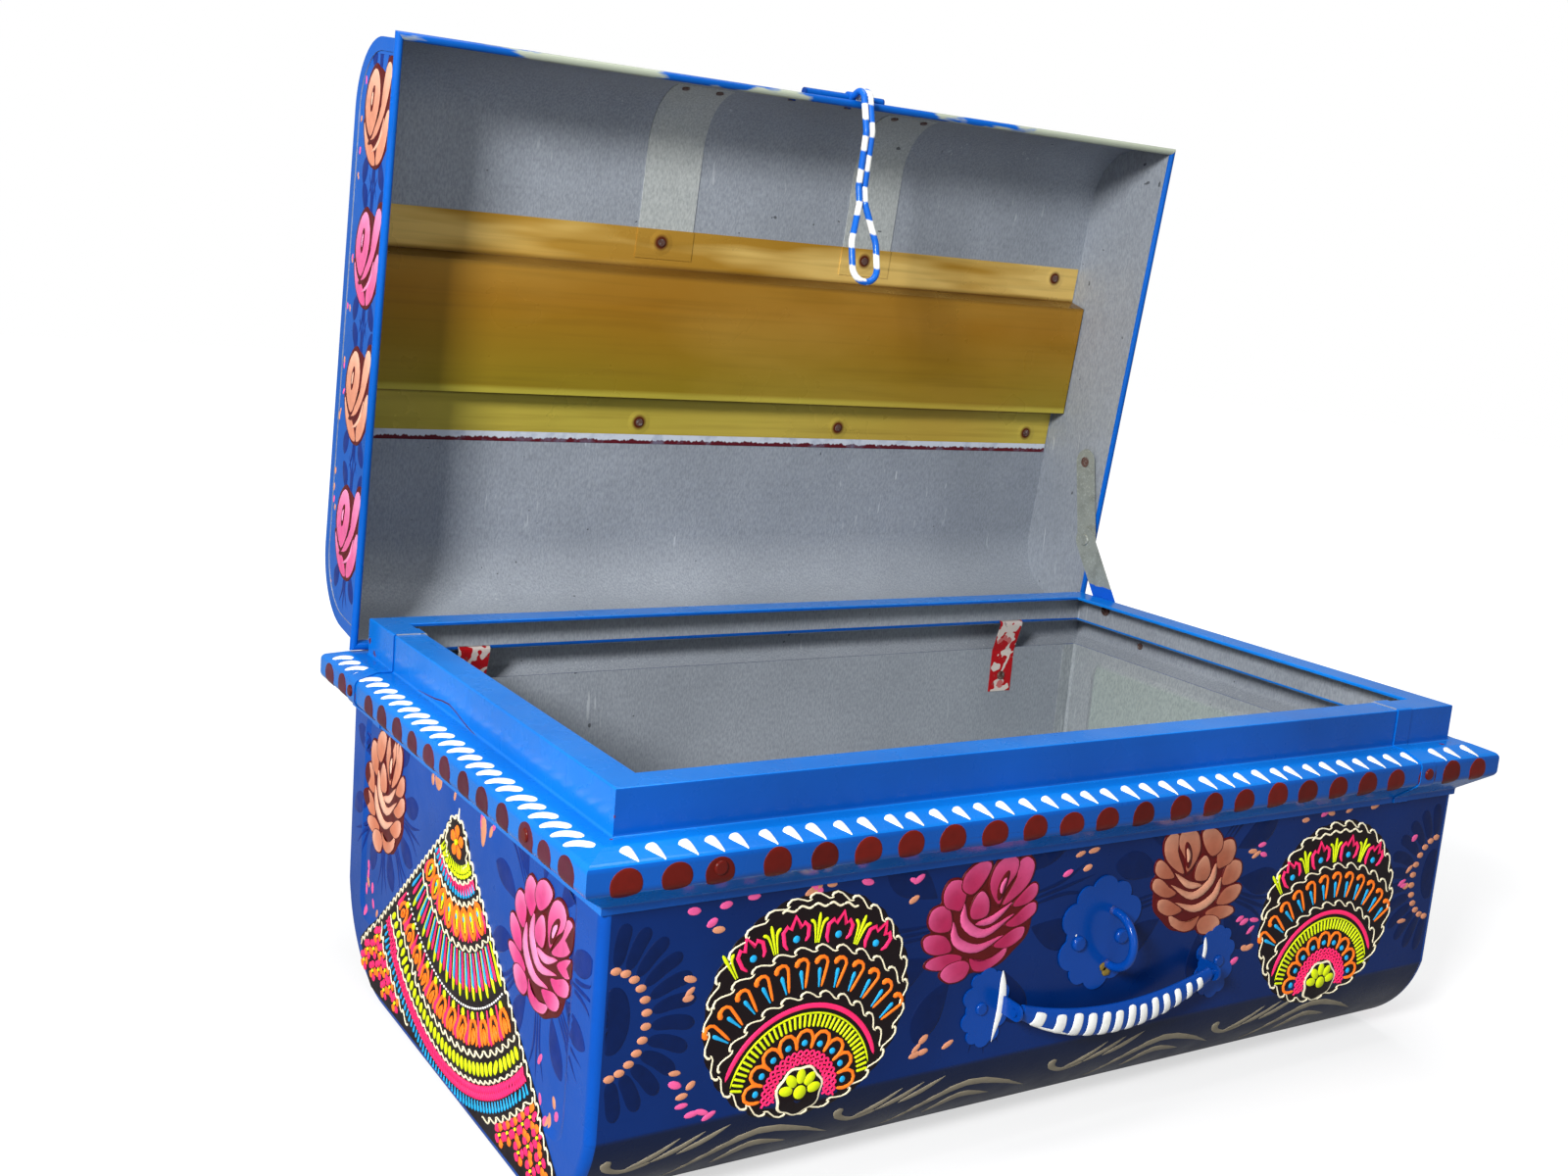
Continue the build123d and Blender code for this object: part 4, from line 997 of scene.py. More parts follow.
OPEN_PETALS = (
    Petal(((-0.3, -0.6), (-0.56, -0.48), (-0.88, -0.5), (-0.96, -0.62), (-0.74, -0.74), (-0.44, -0.74))),
    Petal(((-0.16, -0.8), (-0.3, -0.66), (-0.58, -0.68), (-0.7, -0.84), (-0.52, -1.02), (-0.26, -1.0)), 0.12),
    Petal(((-0.2, -0.66), (-0.04, -0.76), (0.24, -0.74), (0.5, -0.62), (0.42, -0.82), (0.12, -0.96),
           (-0.12, -0.9))),
    Petal(((0.22, -0.54), (0.4, -0.42), (0.62, -0.32), (0.8, -0.34), (0.76, -0.52), (0.54, -0.64),
           (0.34, -0.62))),
    Petal(((0.42, -0.22), (0.6, -0.1), (0.82, 0.06), (0.98, 0.06), (0.98, -0.12), (0.78, -0.26),
           (0.58, -0.3))),
    Petal(((0.54, 0.08), (0.7, 0.28), (0.9, 0.42), (1.0, 0.36), (0.98, 0.18), (0.8, 0.06))),
    Petal(((-0.5, -0.44), (-0.62, -0.16), (-0.9, -0.06), (-1.02, -0.14), (-0.96, -0.34), (-0.76, -0.46))),
    Petal(((-0.54, -0.08), (-0.54, 0.24), (-0.68, 0.4), (-0.88, 0.36), (-0.94, 0.14), (-0.82, -0.04))),
    Petal(((-0.36, 0.24), (-0.28, 0.54), (-0.36, 0.76), (-0.58, 0.8), (-0.7, 0.6), (-0.66, 0.36),
           (-0.5, 0.26))),
    Petal(((-0.2, 0.46), (0.0, 0.62), (0.14, 0.88), (0.08, 1.0), (-0.14, 1.0), (-0.34, 0.84),
           (-0.38, 0.6)), 0.05),
    Petal(((0.34, 0.14), (0.6, 0.24), (0.84, 0.46), (0.92, 0.76), (0.78, 0.94), (0.62, 0.86),
           (0.58, 0.56)), 0.1),
    Petal(((0.3, 0.16), (0.4, 0.42), (0.6, 0.68), (0.62, 0.92), (0.44, 1.02), (0.22, 0.92), (0.1, 0.62),
           (0.16, 0.34)), 0.05),
    Petal(((-0.1, 0.0), (0.1, 0.04), (0.12, 0.3), (0.0, 0.5), (-0.12, 0.44), (-0.22, 0.22),
           (-0.2, 0.06)), 0.1),
)
OPEN_SWEEPS = (
    Sweep(((-0.32, 0.34), (-0.28, -0.02), (0.06, -0.28), (0.58, -0.06)), 0.1),
    Sweep(((-0.5, 0.06), (-0.42, -0.3), (-0.06, -0.52), (0.4, -0.4)), 0.1),
    Sweep(((-0.1, -0.08), (0.2, -0.06), (0.54, 0.16)), 0.075),
)
BUD_PETALS = (
    Petal(((0.0, -0.98), (-0.4, -0.94), (-0.8, -0.62), (-0.96, -0.16), (-0.76, -0.2), (-0.4, -0.5),
           (-0.1, -0.72))),
    Petal(((0.05, -0.98), (0.46, -0.82), (0.78, -0.38), (0.84, 0.12), (0.62, 0.02), (0.36, -0.36),
           (0.04, -0.66)), 0.1),
    Petal(((-0.56, -0.52), (-0.1, -0.46), (0.38, -0.1), (0.72, 0.34), (0.94, 0.8), (0.82, 1.02), (0.56, 0.96),
           (0.36, 0.6), (0.2, 0.1), (-0.16, -0.28)), 0.1),
    Petal(((-0.46, -0.46), (-0.12, -0.2), (0.1, 0.15), (0.16, 0.5), (0.0, 0.82), (-0.3, 0.9), (-0.68, 0.66),
           (-0.9, 0.24), (-0.82, -0.16)), 0.05),
)
BUD_SWEEPS = (Sweep(((-0.3, -0.72), (0.04, -0.6), (0.3, -0.4), (0.5, -0.06)), 0.05),)


ROSE_TONES = (Hue.ROSE_DEEP, Hue.ROSE)
PEACH_TONES = (Hue.PEACH_DEEP, Hue.PEACH)
# Darker copies of the rose and peach tones, for the front wall: painted shade.
ROSE_SHADED_TONES = (Hue.ROSE_DEEP_SHADED, Hue.ROSE_SHADED)
PEACH_SHADED_TONES = (Hue.PEACH_DEEP_SHADED, Hue.PEACH_SHADED)


@dataclass
class Rose:
    """A rose of overlapping petals on a maroon ground, in a deep and a light tone."""

    u: float
    v: float
    wide: float
    tall: float
    turn: float = 0.0
    mirror: float = 1.0
    tones: tuple[Hue, Hue] = ROSE_TONES
    kind: RoseKind = RoseKind.OPEN

    def carry(self, shape: Array) -> Array:
        """Scales, turns and moves points of the unit circle to the rose's place.

        Args:
            shape: the points.

        Returns:
            Their places on the surface.
        """
        a = np.radians(self.turn)
        x, y = shape[..., 0] * self.wide * self.mirror, shape[..., 1] * self.tall
        return np.stack([self.u + x * np.cos(a) + y * np.sin(a), self.v - x * np.sin(a) + y * np.cos(a)], -1)

    def shade(self, tone: Array) -> Array:
        """Colour from the deep tone (0) to the light one (1)."""
        deep, light = (hue.rgb for hue in self.tones)
        return deep + (light - deep) * np.clip(tone, 0, 1)[..., None]

    def petal(self, brush: Brush, petal: Petal, lift: float, grow: float, fair: float) -> None:
        """Paints a petal, dark at its foot and light at its rim, over a maroon outline.

        Args:
            brush: what it is painted with.
            petal: its shape.
            lift: height of the paint that it lies on.
            grow: size of the outline for a petal of size one.
            fair: how much lighter the rose is than usual.
        """
        way = int(self.mirror)
        shape = petal.shape()
        grown = shape.mean(0) + (shape - shape.mean(0)) * grow
        brush.blobs(self.carry(grown)[::way][None], Hue.MAROON.rgb, 0.26, lift, 1)
        outline = self.carry(shape)[::way]
        foot, middle = self.carry(np.array(petal.outline[0])), outline.mean(0)
        reach = np.linalg.norm(outline - foot, axis=1).max()

        def colour(uv: Array) -> Array:
            """Lighter away from the foot and towards the rim."""
            far, rim = (np.linalg.norm(uv - point, axis=-1) / reach for point in (foot, middle))
            return self.shade(petal.tone + fair + 0.62 * far**2.2 + 0.22 * rim)

        brush.blobs(outline[None], colour, 0.28, lift, 4)

    def paint(self, brush: Brush) -> None:
        """Paints the ground, the petals, the sweeps and the eye.

        Args:
            brush: what it is painted with.
        """
        size = min(self.wide, self.tall)
        ground = circle(0, 0, 0.93, 64, 0.02, 9)[0] + (0.04, -0.04)
        brush.blobs(self.carry(ground)[:: int(self.mirror)][None], Hue.MAROON.rgb, 0.15, 0.1)
        opened = self.kind is RoseKind.OPEN
        petals, sweeps = (OPEN_PETALS, OPEN_SWEEPS) if opened else (BUD_PETALS, BUD_SWEEPS)
        grow, fair, eye = (1.08, -0.02, (0.36, 0.5)) if opened else (1.12, 0.14, (-0.36, 0.3))
        for step, petal in enumerate(petals):
            self.petal(brush, petal, 0.15 + 0.03 * step, grow, fair)
        across = (Brush.ACROSS * self.mirror)[None, None]
        for sweep in sweeps:
            line, share = flowing(sweep.points, 19)
            tone = 0.45 + 0.4 * np.sin(np.pi * share)[None, :, None] - 0.22 * across
            widths = sweep.width * size * Taper.LEAF.widths(share)
            brush.ribbons(self.carry(line)[None], widths[None], self.shade(tone), 0.3, 0.6)
        for width, hue, long, lift in ((0.12, Hue.MAROON, 0.25, 0.78), (0.06, self.tones[1], 0.13, 0.9)):
            foot = (eye[0] - long * 0.3, eye[1] - long)
            line, share = flowing((foot, (eye[0] - 0.02, eye[1]), (eye[0] + long * 0.35, eye[1] + long)), 11)
            widths = width * size * Taper.OVAL.widths(share)
            brush.ribbons(self.carry(line)[None], widths[None], hue.rgb, 0.1, lift)


@dataclass
class Leaves:
    """Soft navy leaves and fine strokes that stand out round a rose."""

    u: float
    v: float
    inner: float
    outer: float
    angles: tuple[float, ...]
    fine: tuple[float, ...] = ()
    width: float = 9.5
    hue: Hue = Hue.NAVY

    def paint(self, brush: Brush) -> None:
        """Paints each leaf along its ray, and bunches of fine bent strokes.

        Args:
            brush: what they are painted with.
        """
        foot = np.array([self.u, self.v])
        for angle in self.angles:
            ray, side = compass(angle)
            bend = foot + ray * (self.inner + self.outer) / 2 + side * 2.0
            points = [foot + ray * self.inner, bend, foot + ray * self.outer]
            brush.free(points, self.width, self.hue, Taper.PETAL, 0.08, 0.02)
        for angle in self.fine:
            for step in (-1, 0, 1):
                ray, side = compass(angle + 5.5 * step)
                far = self.outer + 6 - 3 * abs(step)
                bend = foot + ray * (self.inner + far) / 2 - side * 1.5 * step
                points = [foot + ray * (self.inner - 4), bend, foot + ray * far + side * 3 * step]
                brush.free(points, 1.5, self.hue, Taper.LEAF, 0.1, 0.02, 13)


Box = tuple[float, float, float, float, int]


def sprinkle(brush: Brush, boxes: Iterable[Box], seed: int, size: float = 1.0, lean: float = 90.0) -> None:
    """Scatters short pink and peach strokes, the same each run.

    Args:
        brush: what they are painted with.
        boxes: where they go, each as u0, u1, v0, v1 and how many.
        seed: seed of the random draws.
        size: their size factor.
        lean: their direction in degrees.
    """
    rng = np.random.default_rng(seed)
    for u0, u1, v0, v1, count in boxes:
        middle = np.stack([rng.uniform(u0, u1, count), rng.uniform(v0, v1, count)], 1)
        angle = rng.uniform(-0.6, 0.6, count) + np.radians(lean)
        half = rng.uniform(3.0, 4.3, count) * size
        ends = np.stack([np.cos(angle), np.sin(angle)], 1) * half[:, None]
        share = 0.5 - 0.5 * np.cos(np.linspace(0, np.pi, 9))
        paths = middle[:, None] + ends[:, None] * (2 * share[:, None] - 1)
        widths = (rng.uniform(1.7, 2.4, count) * size)[:, None] * Taper.OVAL.widths(share)
        hues = np.where(rng.random(count)[:, None] < 0.55, Hue.CANDY.rgb, Hue.SALMON.rgb)
        brush.ribbons(paths, widths, hues[:, None, None], 0.3)


# Finishes


class Shader:
    """A material under construction: adds nodes, links them and keeps the base colour so far."""

    def __init__(self, name: str, metallic: float = 0.0, roughness: float = 0.4, coat: float = 0.0) -> None:
        """Starts a material with one Principled shader.

        Args:
            name: the material's name.
            metallic: share of metal.
            roughness: of the surface.
            coat: weight of a clear coat.
        """
        self.material = bpy.data.materials.new(name)
        self.material.use_nodes = True
        self.tree = self.material.node_tree
        self.out = self.tree.nodes["Principled BSDF"]
        values = {
            "Metallic": metallic,
            "Roughness": roughness,
            "Coat Weight": coat,
            "Coat Roughness": 0.12,
            "Specular IOR Level": 0.16,
        }
        for socket, value in values.items():
            self.out.inputs[socket].default_value = value
        self.place = self.add("ShaderNodeTexCoord").outputs["Object"]
        self.tone: Optional[Socket] = None

    def add(self, kind: str, **values: object) -> bpy.types.Node:
        """Adds a node.

        Args:
            kind: the node's type.
            values: its properties, or its inputs by name or as i and a number, set or linked.

        Returns:
            The node.
        """
        node = self.tree.nodes.new(kind)
        for key, value in values.items():
            if hasattr(node, key):
                setattr(node, key, value)
                continue
            socket = node.inputs[int(key[1:])] if key[0] == "i" and key[1:].isdigit() else node.inputs[key]
            if isinstance(value, Socket):
                self.tree.links.new(value, socket)
            else:
                socket.default_value = value
        return node

    def link(self, source: Socket, socket: str) -> None:
        """Links a value to an input of the Principled shader."""
        self.tree.links.new(source, self.out.inputs[socket])

    def noise(self, scale: float, detail: float = 3.0, stretch: Optional[Sequence[float]] = None) -> Socket:
        """Noise on object coordinates.

        Args:
            scale: features in a metre.
            detail: octaves.
            stretch: factors on the coordinates, if any.

        Returns:
            The noise value.
        """
        place = self.place
        if stretch:
            place = self.add("ShaderNodeMapping", Vector=place, Scale=stretch).outputs[0]
        return self.add("ShaderNodeTexNoise", Vector=place, Scale=scale, Detail=detail).outputs["Fac"]

    def ramp(self, value: Socket, low: float, high: float, a: float = 0.0, b: float = 1.0) -> Socket:
        """Value carried from low..high to a..b, held at both ends."""
        ends = {"From Min": low, "From Max": high, "To Min": a, "To Max": b}
        return self.add("ShaderNodeMapRange", Value=value, **ends).outputs[0]

    def math(self, kind: str, *values: object) -> Socket:
        """Math node on values or sockets."""
        inputs = {f"i{i}": value for i, value in enumerate(values)}
        return self.add("ShaderNodeMath", operation=kind, **inputs).outputs[0]

    def times(self, a: object, b: object) -> Socket:
        """Product of two values."""
        return self.math("MULTIPLY", a, b)

    def plus(self, a: object, b: object) -> Socket:
        """Sum of two values."""
        return self.math("ADD", a, b)

    def vector(self, kind: str, a: object, b: object, output: str = "Value") -> Socket:
        """Vector math node on values or sockets."""
        return self.add("ShaderNodeVectorMath", operation=kind, i0=a, i1=b).outputs[output]

    def along(self, axis: Array, origin: Array = ORIGIN) -> Socket:
        """Distance along an axis from a point, in millimetres."""
        moved = self.vector("SUBTRACT", self.place, tuple(origin * MM), "Vector")
        return self.times(self.vector("DOT_PRODUCT", moved, tuple(axis)), 1000.0)

    def near(self, point: Sequence[float], radius: float, ragged: float) -> Socket:
        """Share of a ragged round spot: 1 inside it and 0 outside.

        Args:
            point: its middle, in millimetres.
            radius: its radius.
            ragged: how far its edge wanders.

        Returns:
            The share.
        """
        far = self.vector("DISTANCE", self.place, tuple(v * MM for v in point))
        rough = self.times(self.math("SUBTRACT", self.noise(260, 4), 0.5), ragged * MM)
        return self.ramp(self.plus(far, rough), radius * MM * 1.04, radius * MM * 0.96)

    def mix(self, share: object, a: object, b: object) -> Socket:
        """Colour between a and b."""
        return self.add("ShaderNodeMix", data_type="RGBA", i0=share, i6=a, i7=b).outputs[2]

    def start(self, share: Socket, code: str, other: str) -> None:
        """Starts the base colour between two sRGB codes."""
        self.tone = self.mix(share, linear(code), linear(other))

    def cover(self, share: Socket, code: str, most: float = 1.0) -> None:
        """Lays an sRGB code over the base colour so far, at most to a share."""
        full = share if most == 1.0 else self.times(share, most)
        self.tone = self.mix(full, self.tone, linear(code))

    def uneven(self, scale: float, detail: float, low: float, high: float, top: float = 0.7) -> None:
        """Lets a noise carry the roughness from low to high."""
        self.link(self.ramp(self.noise(scale, detail), 0.3, top, low, high), "Roughness")

    def finish(self, height: Socket, strength: float, depth: float) -> Material:
        """Links the base colour and a bump.

        Args:
            height: the bump's height.
            strength: of the bump.
            depth: its depth in metres.

        Returns:
            The finished material.
        """
        self.link(self.tone, "Base Color")
        bump = self.add("ShaderNodeBump", Height=height, Strength=strength, Distance=depth)
        self.link(bump.outputs[0], "Normal")
        return self.material


@dataclass(frozen=True)
class Enamel:
    """Brushed gloss enamel: two blues in soft clouds, faint brush streaks, wear and chips, and a darker band
    below a given height, which is painted shade.

    A chip is its middle and radius in millimetres, below a height and the code of the paint under it.
    """

    name: str
    base: str
    deep: str
    roughness: float = 0.3
    streak: tuple[float, float, float] = (6.0, 60.0, 60.0)
    chips: tuple[tuple[float, float, float, float], ...] = ()
    below: Optional[tuple[float, str]] = None
    chip_code: str = "6E1712"
    coat: float = 0.06
    wear: Optional[str] = None

    def make(self) -> Material:
        """Builds the material.

        Returns:
            The material.
        """
        s = Shader(self.name, 0.0, self.roughness, self.coat)
        s.start(s.ramp(s.noise(9, 4), 0.35, 0.7), self.base, self.deep)
        streaks = s.noise(5, 3, self.streak)
        s.cover(s.ramp(streaks, 0.55, 0.8, 0.0, 0.22), self.deep)
        # Darker colour below a height: painted shade on the lower curve, which faces down.
        if self.below:
            level, code = self.below
            s.cover(s.ramp(s.along(UP), level + 1.5, level - 1.5), code)
        if self.wear:
            s.cover(s.ramp(s.noise(16, 4, (1.0, 5.0, 5.0)), 0.47, 0.52), self.wear)
        for x, y, z, radius in self.chips:
            s.cover(s.near((x, y, z), radius, radius * 2.4), self.chip_code)
        s.uneven(40, 4, self.roughness - 0.07, self.roughness + 0.14, 0.75)
        return s.finish(s.plus(s.times(streaks, 0.7), s.noise(420, 2)), 0.12, 0.0005)


@dataclass(frozen=True)
class BareSheet:
    """Dull tinned sheet: grey with a fine grain, clouds, scratches and, on an end, a paler pressed panel."""

    name: str
    base: str
    light: str
    metallic: float = 0.2
    roughness: float = 0.5
    panel: bool = False

    def make(self) -> Material:
        """Builds the material.

        Returns:
            The material.
        """
        s = Shader(self.name, self.metallic, self.roughness)
        s.start(s.ramp(s.noise(6, 5), 0.3, 0.72), self.base, self.light)
        if self.panel:
            across = s.ramp(s.math("ABSOLUTE", s.along(BACK)), 157.5, 154.0)
            upward = s.ramp(s.math("ABSOLUTE", s.math("SUBTRACT", s.along(UP), 112.5)), 66.5, 63.0)
            s.cover(s.times(across, upward), "A9B8AE", 0.55)
        s.cover(s.ramp(s.noise(900, 2, (1.0, 1.0, 0.35)), 0.35, 0.7, 0.0, 0.35), "4E545C")
        long = s.ramp(s.noise(34, 2, (9.0, 9.0, 0.8)), 0.68, 0.74)
        s.cover(s.times(long, s.ramp(s.noise(11, 2), 0.5, 0.62)), "D8DDE0", 0.45)
        s.cover(s.ramp(s.noise(150, 1), 0.79, 0.8), "2E2F33", 0.7)
        s.uneven(60, 4, self.roughness - 0.1, self.roughness + 0.12)
        return s.finish(s.plus(s.noise(700, 2), s.times(s.noise(14, 2), 6.0)), 0.1, 0.0006)


@dataclass(frozen=True)
class GoldSheet:
    """Gold lacquered channel: darker and greener to its rear edge, with dents round the rivets, and painted
    light in bands at its bends and on its upper flange.

    A painted light band starts between two distances behind the hinge and lasts until a later one covers it;
    the bands are painted highlight lines and painted shadow lines at the channel's bends, and the lower
    flange's pale olive, partly its own tint and partly painted reflection.
    """

    name: str
    rivets: tuple[Point, ...]
    metallic: float = 0.2
    roughness: float = 0.3
    painted_light_bands: tuple[tuple[float, float, str], ...] = (
        (-161.0, -158.0, "B6A83E"),
        (-156.0, -154.5, "4E4012"),
        (-152.5, -150.5, "BCAA44"),
        (-240.0, -244.0, "5E3C10"),
    )

    def make(self) -> Material:
        """Builds the material.

        Returns:
            The material.
        """
        s = Shader(self.name, self.metallic, self.roughness)
        x, y = s.along(RIGHT, HINGE), s.along(LID_BACK, HINGE)
        s.start(s.ramp(y, -165.0, -222.0), "8E781C", "9E6E1A")
        # Painted highlight lines and painted shadow lines at the channel's bends.
        for start, full, code in self.painted_light_bands:
            s.cover(s.ramp(y, start, full), code)
        # The upper flange gets a lighter gold with pale glints: painted sheen and painted highlights.
        lead = s.ramp(y, -246.0, -249.0)
        s.cover(lead, "A87C24")
        painted_glints = s.ramp(s.noise(13, 3, (0.3, 2.4, 2.4)), 0.5, 0.62)
        s.cover(s.times(painted_glints, lead), "ECCB78", 0.8)
        s.cover(s.ramp(s.noise(4, 4, (1.0, 3.0, 3.0)), 0.35, 0.7), "DDB45A", 0.3)
        s.cover(s.ramp(s.noise(2.2, 2), 0.5, 0.72), "9A6518", 0.5)
        s.cover(s.ramp(s.noise(30, 3, (0.25, 8.0, 8.0)), 0.5, 0.8, 0.0, 0.3), "6B5218")
        flat = s.add("ShaderNodeCombineXYZ", X=x, Y=y).outputs[0]
        rings = [s.ramp(s.vector("DISTANCE", flat, (*rivet, 0.0)), 9.0, 3.5) for rivet in self.rivets]
        dents = rings[0]
        for ring in rings[1:]:
            dents = s.math("MAXIMUM", dents, ring)
        s.cover(s.ramp(dents, 0.5, 0.95), "5A2612")
        s.uneven(22, 4, self.roughness - 0.08, self.roughness + 0.14)
        soft = s.times(s.noise(13, 3, (0.5, 1.6, 1.6)), 3.0)
        return s.finish(s.plus(soft, s.times(dents, 1.4)), 0.5, 0.0012)


@dataclass(frozen=True)
class Banded:
    """Blue enamel with hand-painted white bands at a pitch along an axis, shifted on one side of x."""

    name: str
    axis: tuple[float, float, float]
    pitch: float = 21.0
    split: float = 15.0
    shift: float = 9.0

    def make(self) -> Material:
        """Builds the material.

        Returns:
            The material.
        """
        s = Shader(self.name, 0.0, 0.32, 0.2)
        side = s.ramp(s.along(RIGHT, RIGHT * self.split), -0.2, 0.2, 0.0, self.shift)
        rough = s.times(s.math("SUBTRACT", s.noise(90, 3), 0.5), 5.0)
        run = s.plus(s.plus(s.along(np.array(self.axis), HINGE), side), rough)
        phase = s.math("FRACT", s.math("DIVIDE", run, self.pitch))
        band = s.times(s.ramp(phase, 0.02, 0.07), s.ramp(phase, 0.52, 0.46))
        s.start(band, "1463C8", "F2F2EC")
        return s.finish(s.plus(band, s.times(s.noise(300, 2), 0.3)), 0.25, 0.0004)


@dataclass(frozen=True)
class TinStrap:
    """Red tin with cream waves and leaf shapes, cut without regard to its print."""

    name: str

    def make(self) -> Material:
        """Builds the material.

        Returns:
            The material.
        """
        s = Shader(self.name, 0.45, 0.28)
        swirl = {"Scale": 9.0, "Distortion": 9.0, "Detail": 2.0, "Detail Scale": 8.0}
        wave = s.add("ShaderNodeTexWave", Vector=s.place, **swirl)
        cream = s.ramp(wave.outputs["Fac"], 0.56, 0.6)
        s.start(cream, "C41A22", "E9DAD2")
        cells = s.add("ShaderNodeTexVoronoi", Vector=s.place, Scale=70.0)
        s.cover(s.times(s.ramp(cells.outputs["Distance"], 0.3, 0.27), cream), "D23A3E", 0.8)
        s.cover(s.ramp(s.noise(260, 3), 0.64, 0.7, 0.0, 0.6), "7A6A66")
        return s.finish(s.noise(120, 3), 0.2, 0.0005)


@dataclass(frozen=True)
class SerratedStrip:
    """White strip whose edge is dark red in small uneven teeth."""

    name: str
    edge: float = -119.2

    def make(self) -> Material:
        """Builds the material.

        Returns:
            The material.
        """
        s = Shader(self.name, 0.1, 0.5)
        teeth = s.times(s.noise(330, 2, (1.0, 0.05, 0.05)), 5.0)
        reach = s.plus(s.along(LID_BACK, HINGE), teeth)
        s.start(s.ramp(reach, self.edge, self.edge + 0.8), "C9CFD8", "5A1620")
        s.cover(s.ramp(s.noise(90, 3), 0.5, 0.7, 0.0, 0.5), "7E8CA4")
        return s.finish(s.noise(400, 2), 0.2, 0.0004)


@dataclass(frozen=True)
class Steel:
    """Worn steel of rivets, links and wire, with stains."""

    name: str
    base: str = "7C8078"
    stain: str = "4A3026"
    amount: float = 0.5
    metallic: float = 0.6
    painted_below: Optional[float] = None

    def make(self) -> Material:
        """Builds the material.

        Returns:
            The material.
        """
        s = Shader(self.name, self.metallic, 0.45)
        s.start(s.ramp(s.noise(70, 4), 0.5, 0.68, 0.0, self.amount), self.base, self.stain)
        s.cover(s.ramp(s.noise(520, 2), 0.55, 0.7, 0.0, 0.35), "C9CEC8")
        if self.painted_below is not None:
            level = s.plus(s.along(UP), s.times(s.noise(60, 2), 6.0))
            s.cover(s.ramp(level, self.painted_below + 0.6, self.painted_below), "1463D2")
        s.uneven(130, 3, 0.35, 0.58)
        return s.finish(s.noise(500, 3), 0.25, 0.0004)


@dataclass(frozen=True)
class BrushPaint:
    """Thick hand paint in the stroke's own colour; neon paint gets a little emission, a painted glow that
    stands in for its fluorescent brightness.
    """

    name: str
    roughness: float = 0.38
    glow: float = 0.0

    def make(self) -> Material:
        """Builds the material.

        Returns:
            The material.
        """
        s = Shader(self.name, 0.0, self.roughness)
        own = s.add("ShaderNodeAttribute", attribute_name="paint").outputs["Color"]
        black = (0.0, 0.0, 0.0, 1.0)
        dim = s.add("ShaderNodeMix", data_type="RGBA", blend_type="MULTIPLY", i0=0.35, i6=own, i7=black)
        s.tone = s.mix(s.ramp(s.noise(160, 3), 0.4, 0.75, 0.0, 0.5), own, dim.outputs[2])
        # Emission in the paint's own colour: a painted glow, non-zero on neon paint only.
        s.link(s.tone, "Emission Color")
        s.out.inputs["Emission Strength"].default_value = self.glow
        s.uneven(90, 3, self.roughness - 0.08, self.roughness + 0.12)
        return s.finish(s.noise(500, 2), 0.15, 0.0004)


class Finishes:
    """Every material of the trunk, made once."""

    RIM_CHIPS = (
        (-299.4, -180.9, 221.0, 0.9),
        (-299.2, 168.0, 214.0, 2.2),
        (-300.4, -182.4, 211.6, 1.0),
        (-299.4, 178.0, 220.0, 1.6),
        (286.0, -186.5, 211.6, 1.6),
    )
    STAPLE_MARKS = ((15.0, -206.0, 124.0, 1.5), (15.0, -205.0, 113.0, 1.0), (-11.0, -188.0, 124.0, 0.8))
    CHANNEL_RIVETS = tuple((x, y) for x in (-286.0, -83.0, 90.0, 279.0) for y in (-134.5, -264.0))
    LENGTHWISE, CROSSWISE, RIM_WISE, EVEN = (6, 60, 60), (60, 6, 60), (4, 50, 50), (30, 30, 30)

    def __init__(self) -> None:
        """Builds the materials."""
        rim = {"streak": self.RIM_WISE, "chips": self.RIM_CHIPS, "coat": 0.2}
        # Below the crease the walls get a darker blue: painted shade on the lower curve.
        wall = {"streak": self.LENGTHWISE, "below": (59.5, "03163A")}
        marks = {"streak": self.EVEN, "chips": self.STAPLE_MARKS, "chip_code": "E4E6E6", "coat": 0.15}
        # The body's enamel is a darker copy of the ends' blue: painted shade on the walls, taken from the
        # front wall in shade.
        self.body = Enamel("body_enamel_shaded", "022868", "011F56", **wall).make()
        self.ends = Enamel("end_enamel", "004AA8", "003E90", streak=self.CROSSWISE).make()
        self.rim = Enamel("rim_enamel", "0675D2", "0464BC", 0.24, **rim).make()
        # Darker copy of the rim enamel for the rim's front faces: painted shade.
        self.rim_front_shaded = Enamel("rim_enamel_front_shaded", "0352AC", "024696", 0.26, **rim).make()
        self.lid = Enamel("lid_enamel", "035CBC", "0250A4").make()
        self.lid_rim = Enamel("lid_edge_enamel", "035CBC", "0250A4", 0.35, wear="A3AA98").make()
        # The fittings' enamel is made as dark as the shaded front wall: painted shade.
        self.fitting = Enamel("fitting_enamel_shaded", "0444A0", "033884", 0.24, **marks).make()
        self.brick = Enamel("brick_enamel", "64150D", "4A0F0A", streak=self.EVEN).make()
        self.sheet = BareSheet("bare_sheet", "9298A0", "AAB0B8").make()
        self.end_sheet = BareSheet("bare_end_sheet", "949A9E", "AEB4B6", panel=True).make()
        self.strap = BareSheet("stiffener_sheet", "AFB4B2", "C6CAC6", roughness=0.45).make()
        self.gold = GoldSheet("gold_sheet", self.CHANNEL_RIVETS).make()
        self.tin = TinStrap("printed_tin").make()
        self.strip = SerratedStrip("serrated_strip").make()
        self.wire = Steel("edge_wire", "6E7276", "43302A", 0.4).make()
        self.rivet = Steel("rivet_steel", "6B5048", "3A1A14", 0.8, 0.4).make()
        links = ("9A9F97", "6A6E66", 0.35, 0.4)
        self.link = Steel("stay_steel", *links).make()
        self.lower_link = Steel("stay_steel_dipped", *links, painted_below=246.0).make()
        self.hasp = Banded("banded_hasp", tuple(LID_BACK)).make()
        self.paint = BrushPaint("brush_paint").make()
        # Neon paint with a little emission: a painted glow.
        self.neon = BrushPaint("neon_paint", 0.42, 0.22).make()


# Sub-assemblies

Rule = Callable[[Array, Array], Array]


